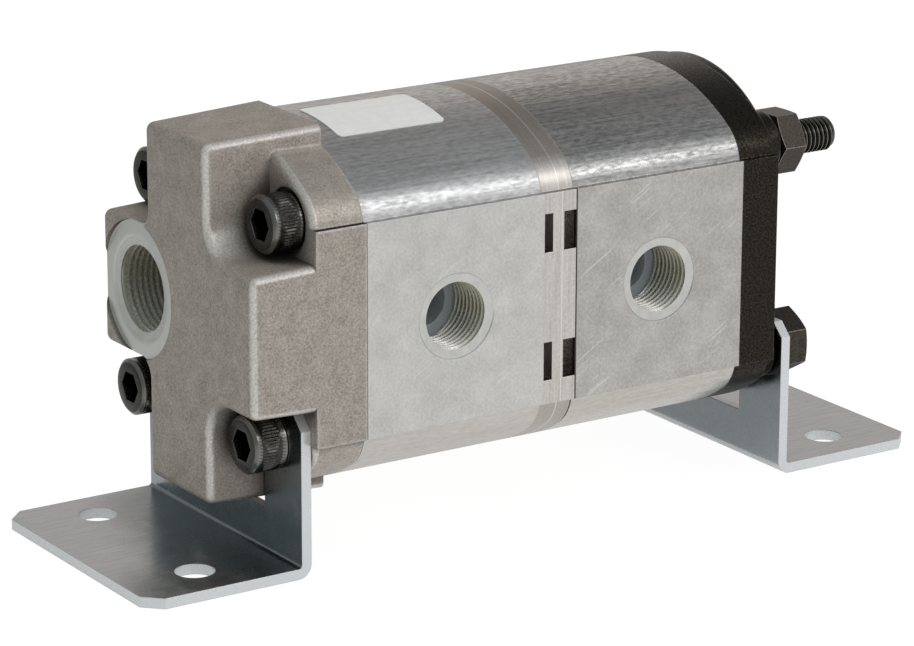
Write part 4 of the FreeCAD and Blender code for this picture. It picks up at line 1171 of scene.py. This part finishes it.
@dataclass
class TieBolts:
    """Pair of socket head screws with knurled heads and cut threads."""

    node: str
    head_length: float = 10.0
    head_radius: float = 8.0
    head_chamfer: float = 0.8
    face_round: float = 0.25
    face_drop: float = 0.12
    socket_flats: float = 8.0
    socket_depth: float = 5.5
    socket_chamfer: float = 0.15
    socket_lead: float = 0.3
    socket_cone: float = 0.7
    knurl_start: float = 1.9
    knurl_end: float = 8.2
    knurl_run_out: float = 0.25
    knurl_depth: float = 0.26
    knurl_rings: int = 3
    ridges: int = 54
    seat_round: float = 0.4
    shank_radius: float = 5.0
    thread_length: float = 26.0
    tip_chamfer: float = 1.0

    def one(self, length: float) -> Shape:
        """One screw along +X with its head's face at the origin.

        Args:
            length: From the head's face to the tip, in millimetres.

        Returns:
            Its shape about X, in metres.
        """
        mesh = bmesh.new()
        corner = self.socket_flats / math.sqrt(3)
        wide = corner + self.socket_chamfer
        rim = self.head_radius - self.head_chamfer
        flat = rim - self.face_round
        face = ring_of(mesh, 2 * self.ridges, flat)
        socket = ring_of(mesh, 6, wide)
        bmesh.ops.bridge_loops(mesh, edges=face + socket)
        for forward, growth in ((self.socket_lead, corner / wide),
                                (self.socket_depth - self.socket_lead, 1.0), (self.socket_cone, 0.3)):
            socket = carry_on(mesh, socket, forward, growth)
        bmesh.ops.holes_fill(mesh, edges=socket)
        outer = self.head_radius
        seat = outer - self.seat_round
        low = (outer - self.knurl_depth) / outer
        knurl = self.knurl_end - self.knurl_start - 2 * self.knurl_run_out
        plain = length - self.head_length - self.thread_length
        ring = face
        for forward, growth, every_other in (
                (self.face_drop, rim / flat, None),
                (self.head_chamfer - self.face_drop, outer / rim, None),
                (self.knurl_start - self.head_chamfer, 1.0, None),
                (self.knurl_run_out, 1.0, low),
                *[(knurl / self.knurl_rings, 1.0, None)] * self.knurl_rings,
                (self.knurl_run_out, 1.0, 1 / low),
                (self.head_length - self.knurl_end - self.seat_round, 1.0, None),
                (self.seat_round, seat / outer, None),
                (0.0, self.shank_radius / seat, None),
                (plain, 1.0, None)):
            ring = carry_on(mesh, ring, forward, growth, every_other)
        bmesh.ops.holes_fill(mesh, edges=ring)
        take_in(mesh, METRIC_TEN.rod(length - self.thread_length, length, self.tip_chamfer))
        return mesh

    def build(self) -> bpy.types.Object:
        """Make both screws where the solids are, and stand in for them.

        Returns:
            The pair, as one piece.
        """
        low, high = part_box(self.node)
        pair = bmesh.new()
        for side in (low.y + self.head_radius * MM, high.y - self.head_radius * MM):
            screw = self.one((high.x - low.x) * MM_PER_M)
            bmesh.ops.translate(screw, verts=screw.verts, vec=(low.x, side, (low.z + high.z) / 2))
            take_in(pair, screw)
        piece = new_piece(f"{self.node}_cut", pair, KNURLED_STEEL, smooth_under=35.0)
        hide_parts(self.node)
        return piece


@dataclass
class Dressing:
    """Pieces of the frame that keep their shape and share a finish."""

    finish: Finish
    nodes: Iterable[str]

    def build(self) -> None:
        """Put the finish on each piece."""
        for name in self.nodes:
            dress(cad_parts[name], self.finish)
            log.info("%s: %s", name, self.finish.name)


SECTIONS = ("front", "rear")
SECTION_SIDES = tuple(f"{end}_{side}" for end in SECTIONS for side in ("inlet_side", "end_side"))
JOINTS = ("inlet_cover", "front_plate", "rear_plate", "end_cover")
DRESSINGS = (
    Dressing(CAST, ["inlet_cover"]),
    Dressing(EXTRUDED, ["front_body"]),
    Dressing(EXTRUDED_HANDLED, ["rear_body"]),
    Dressing(PLATE, ["middle_plate"]),
    Dressing(BLACK_IRON, ["end_cover"]),
    Dressing(NUT_STEEL, ["upper_nuts", "lower_nuts"]),
    Dressing(BOLT_STEEL, ["upper_tie_bolts", "lower_tie_bolts", "lower_washers"]),
    Dressing(ZINC, ["front_foot", "rear_foot"]),
    Dressing(FOIL, ["rating_label"]),
    Dressing(GROUND_STEEL, [f"{end}_{kind}_gear" for end in SECTIONS for kind in ("drive", "driven")]),
    Dressing(GROUND_STEEL, ["drive_coupling", *(f"{joint}_dowels" for joint in JOINTS)]),
    Dressing(BEARING_METAL, [f"{place}_bearing_block" for place in SECTION_SIDES]),
    Dressing(BRONZE, [f"{place}_bushes" for place in SECTION_SIDES]),
    Dressing(RUBBER, [f"{place}_block_seal" for place in SECTION_SIDES]),
    Dressing(RUBBER, ["inlet_cover_seal", "front_body_seal", "rear_body_seal", "end_cover_seal"]),
)

PORTS = (
    Port("inlet_port", INLET_THREAD, Facing.INLET, (-97.6, 17.4, 69.3), 16.9, 1.78),
    Port("front_outlet", OUTLET_THREAD, Facing.OUTLET, (-34.8, -44.95, 67.0), 15.9, 1.7),
    Port("rear_outlet", OUTLET_THREAD, Facing.OUTLET, (32.6, -44.95, 67.0), 15.9, 1.7),
)

SCREWS = (TieBolts("upper_tie_bolts"), TieBolts("lower_tie_bolts", thread_length=12.0))


# Studio


@dataclass
class Studio:
    """White table that darkens to the far left, a sky with a wide window on the near side, and lamps."""

    floor_size: float = 40.0
    floor_drop: float = 0.0002
    floor_paint: str = "#f4f4f4"
    floor_glow: float = 0.84
    glow_strength: float = 1.125
    table_cover: float = 0.85
    table_shine: float = 0.8
    table_dark: float = 0.36
    table_away: tuple[float, float, float] = (-0.53, 0.80, 0.0)
    table_reach: float = 0.35
    left_sky: str = "#a1a8a8"
    looked_at: tuple[float, float, float] = (0.0, 0.0, 0.06)

    def build_floor(self) -> None:
        """Make a floor that looks white, keeps the object's shadow and fades in reflections."""
        mesh = bmesh.new()
        bmesh.ops.create_grid(mesh, x_segments=1, y_segments=1, size=self.floor_size / 2)
        bmesh.ops.translate(mesh, verts=mesh.verts, vec=(0, 0, -self.floor_drop))
        floor = new_object("floor", mesh)
        material = bpy.data.materials.new("studio_floor")
        material.use_nodes = True
        material.node_tree.nodes.clear()
        add = partial(add_node, material.node_tree)
        rays = add("ShaderNodeLightPath").outputs
        place = add("ShaderNodeTexCoord").outputs["Object"]
        away = add("ShaderNodeVectorMath", {0: place, 1: self.table_away}, operation="DOT_PRODUCT")
        shine = add("ShaderNodeMapRange", {"Value": away.outputs["Value"], "From Max": self.table_reach,
                                           "To Min": self.table_shine, "To Max": self.table_dark})
        seen = add("ShaderNodeMath", {0: rays["Is Camera Ray"], 1: rays["Is Transmission Ray"]},
                   operation="MAXIMUM")
        white = add("ShaderNodeMath", {0: seen.outputs[0], 1: self.floor_glow}, operation="MULTIPLY")
        shiny = add("ShaderNodeMath", {0: rays["Is Glossy Ray"], 1: self.table_cover}, operation="MULTIPLY")
        amount = add("ShaderNodeMath", {0: white.outputs[0], 1: shiny.outputs[0]}, operation="MAXIMUM")
        paint = add("ShaderNodeBsdfDiffuse", {"Color": linear(self.floor_paint)})
        strength = add("ShaderNodeMix", {MIX_AMOUNT: rays["Is Glossy Ray"], BLEND_FIRST: self.glow_strength,
                                         BLEND_SECOND: shine.outputs[0]}, data_type="FLOAT")
        glow = add("ShaderNodeEmission", {"Color": linear("#ffffff"),
                                          "Strength": strength.outputs[BLEND_VALUE]})
        both = add("ShaderNodeMixShader", {0: amount.outputs[0], 1: paint.outputs[0], 2: glow.outputs[0]})
        add("ShaderNodeOutputMaterial", {"Surface": both.outputs[0]})
        floor.data.materials.append(material)

    def ramp(self, tree: bpy.types.NodeTree, value: Socket, stops: Iterable[tuple[float, str]]) -> Socket:
        """Colour that goes through stops with a value.

        Args:
            tree: Node tree of the world.
            value: What the colour follows.
            stops: Value and colour of each stop.

        Returns:
            The colour.
        """
        node = add_node(tree, "ShaderNodeValToRGB", {0: value})
        elements = node.color_ramp.elements
        while len(elements) > 1:
            elements.remove(elements[-1])
        for index, (height, colour) in enumerate(stops):
            stop = elements[0] if index == 0 else elements.new(height)
            stop.position = height
            stop.color = linear(colour)
        return node.outputs[0]

    def build_sky(self) -> None:
        """Make the world: a bright window up to 45 degrees on the near side, dim and warm elsewhere."""
        world = bpy.data.worlds.new("studio")
        bpy.context.scene.world = world
        world.use_nodes = True
        tree = world.node_tree
        tree.nodes.clear()
        add = partial(add_node, tree)
        way = add("ShaderNodeTexCoord").outputs["Generated"]
        parts = add("ShaderNodeSeparateXYZ", {0: way}).outputs
        near = self.ramp(tree, parts["Z"], ((0.0, "#b8b8b8"), (0.25, "#e0e0e0"), (0.6, "#dcdcdc"),
                                            (0.74, "#c4c6c7"), (0.85, "#a0a2a3"), (1.0, "#7c7e80")))
        far = self.ramp(tree, parts["Z"], ((0.0, "#cfc9c3"), (0.3, "#d0cac4"), (0.52, "#b8b3ae"),
                                           (0.68, "#747372"), (0.85, "#98999a"), (1.0, "#7c7e80")))
        side = add("ShaderNodeMapRange", {"Value": parts["Y"], "From Min": -0.35, "From Max": 0.15})
        left = add("ShaderNodeMapRange", {"Value": parts["X"], "From Min": -0.05, "From Max": -0.45})
        about = add("ShaderNodeMix", {MIX_AMOUNT: side.outputs[0], MIX_FIRST: near, MIX_SECOND: far},
                    data_type="RGBA").outputs[MIX_COLOUR]
        sky = add("ShaderNodeMix", {MIX_AMOUNT: left.outputs[0], MIX_FIRST: about,
                                    MIX_SECOND: linear(self.left_sky)}, data_type="RGBA")
        shown = add("ShaderNodeBackground", {"Color": sky.outputs[MIX_COLOUR], "Strength": 1.0})
        add("ShaderNodeOutputWorld", {"Surface": shown.outputs[0]})

    def lamp(self, name: str, place: tuple[float, float, float], size: tuple[float, float], power: float,
             mirrored: bool = True) -> None:
        """Add a soft lamp that looks at the object.

        Args:
            name: Name of the lamp.
            place: Where it is, in metres.
            size: Its width and height in metres.
            power: Its power in watts.
            mirrored: Whether glossy surfaces show it.
        """
        light = bpy.data.lights.new(name, "AREA")
        light.shape = "RECTANGLE"
        light.size, light.size_y = size
        light.energy = power
        lamp = bpy.data.objects.new(name, light)
        bpy.context.scene.collection.objects.link(lamp)
        lamp.location = place
        lamp.visible_glossy = mirrored
        towards = Vector(self.looked_at) - Vector(place)
        lamp.rotation_euler = towards.to_track_quat("-Z", "Y").to_euler()

    def build(self) -> None:
        """Build floor, sky and lamps."""
        self.build_floor()
        self.build_sky()
        self.lamp("key", place=(0.9, -1.5, 1.15), size=(0.7, 0.5), power=2.6)
        self.lamp("spark", place=(0.1, -1.6, 1.1), size=(0.16, 0.16), power=0.9)
        self.lamp("top", place=(0.1, -0.3, 2.0), size=(1.5, 1.5), power=14.0, mirrored=False)


@dataclass
class PhotoCamera:
    """Camera at the photograph's viewing angle."""

    place: tuple[float, float, float] = (-0.60768, -0.91603, 0.37592)
    azimuth: float = -33.6754
    elevation: float = 16.5060
    roll: float = 0.2815
    focal_pixels: float = 4035.49
    centre: tuple[float, float] = (480.245, 316.535)
    frame_size: tuple[int, int] = (914, 646)
    sensor: float = 36.0

    def build(self) -> None:
        """Add the camera and make it the scene's."""
        width, height = self.frame_size
        data = bpy.data.cameras.new("camera")
        data.sensor_width = self.sensor
        data.lens = self.focal_pixels / width * self.sensor
        data.shift_x = (width / 2 - self.centre[0]) / width
        data.shift_y = (self.centre[1] - height / 2) / width
        data.clip_start = 0.01
        data.clip_end = 100.0
        camera = bpy.data.objects.new("camera", data)
        bpy.context.scene.collection.objects.link(camera)
        turn = (Matrix.Rotation(math.radians(self.azimuth), 4, "Z")
                @ Matrix.Rotation(math.radians(90 - self.elevation), 4, "X")
                @ Matrix.Rotation(math.radians(self.roll), 4, "Z"))
        camera.matrix_world = Matrix.Translation(self.place) @ turn
        bpy.context.scene.camera = camera


def main() -> None:
    """Build the pieces in order, then the studio and the camera."""
    logging.basicConfig(level=logging.INFO, format="%(message)s")
    PhotoCamera().build()
    Studio().build()
    for dressing in DRESSINGS:
        dressing.build()
    for port in PORTS:
        log.info("%s: %d faces", port.name, len(port.build().data.polygons))
    for screws in SCREWS:
        log.info("%s: %d faces", screws.node, len(screws.build().data.polygons))
    bpy.context.scene.view_settings.view_transform = "Standard"


if __name__ == "__main__":
    main()
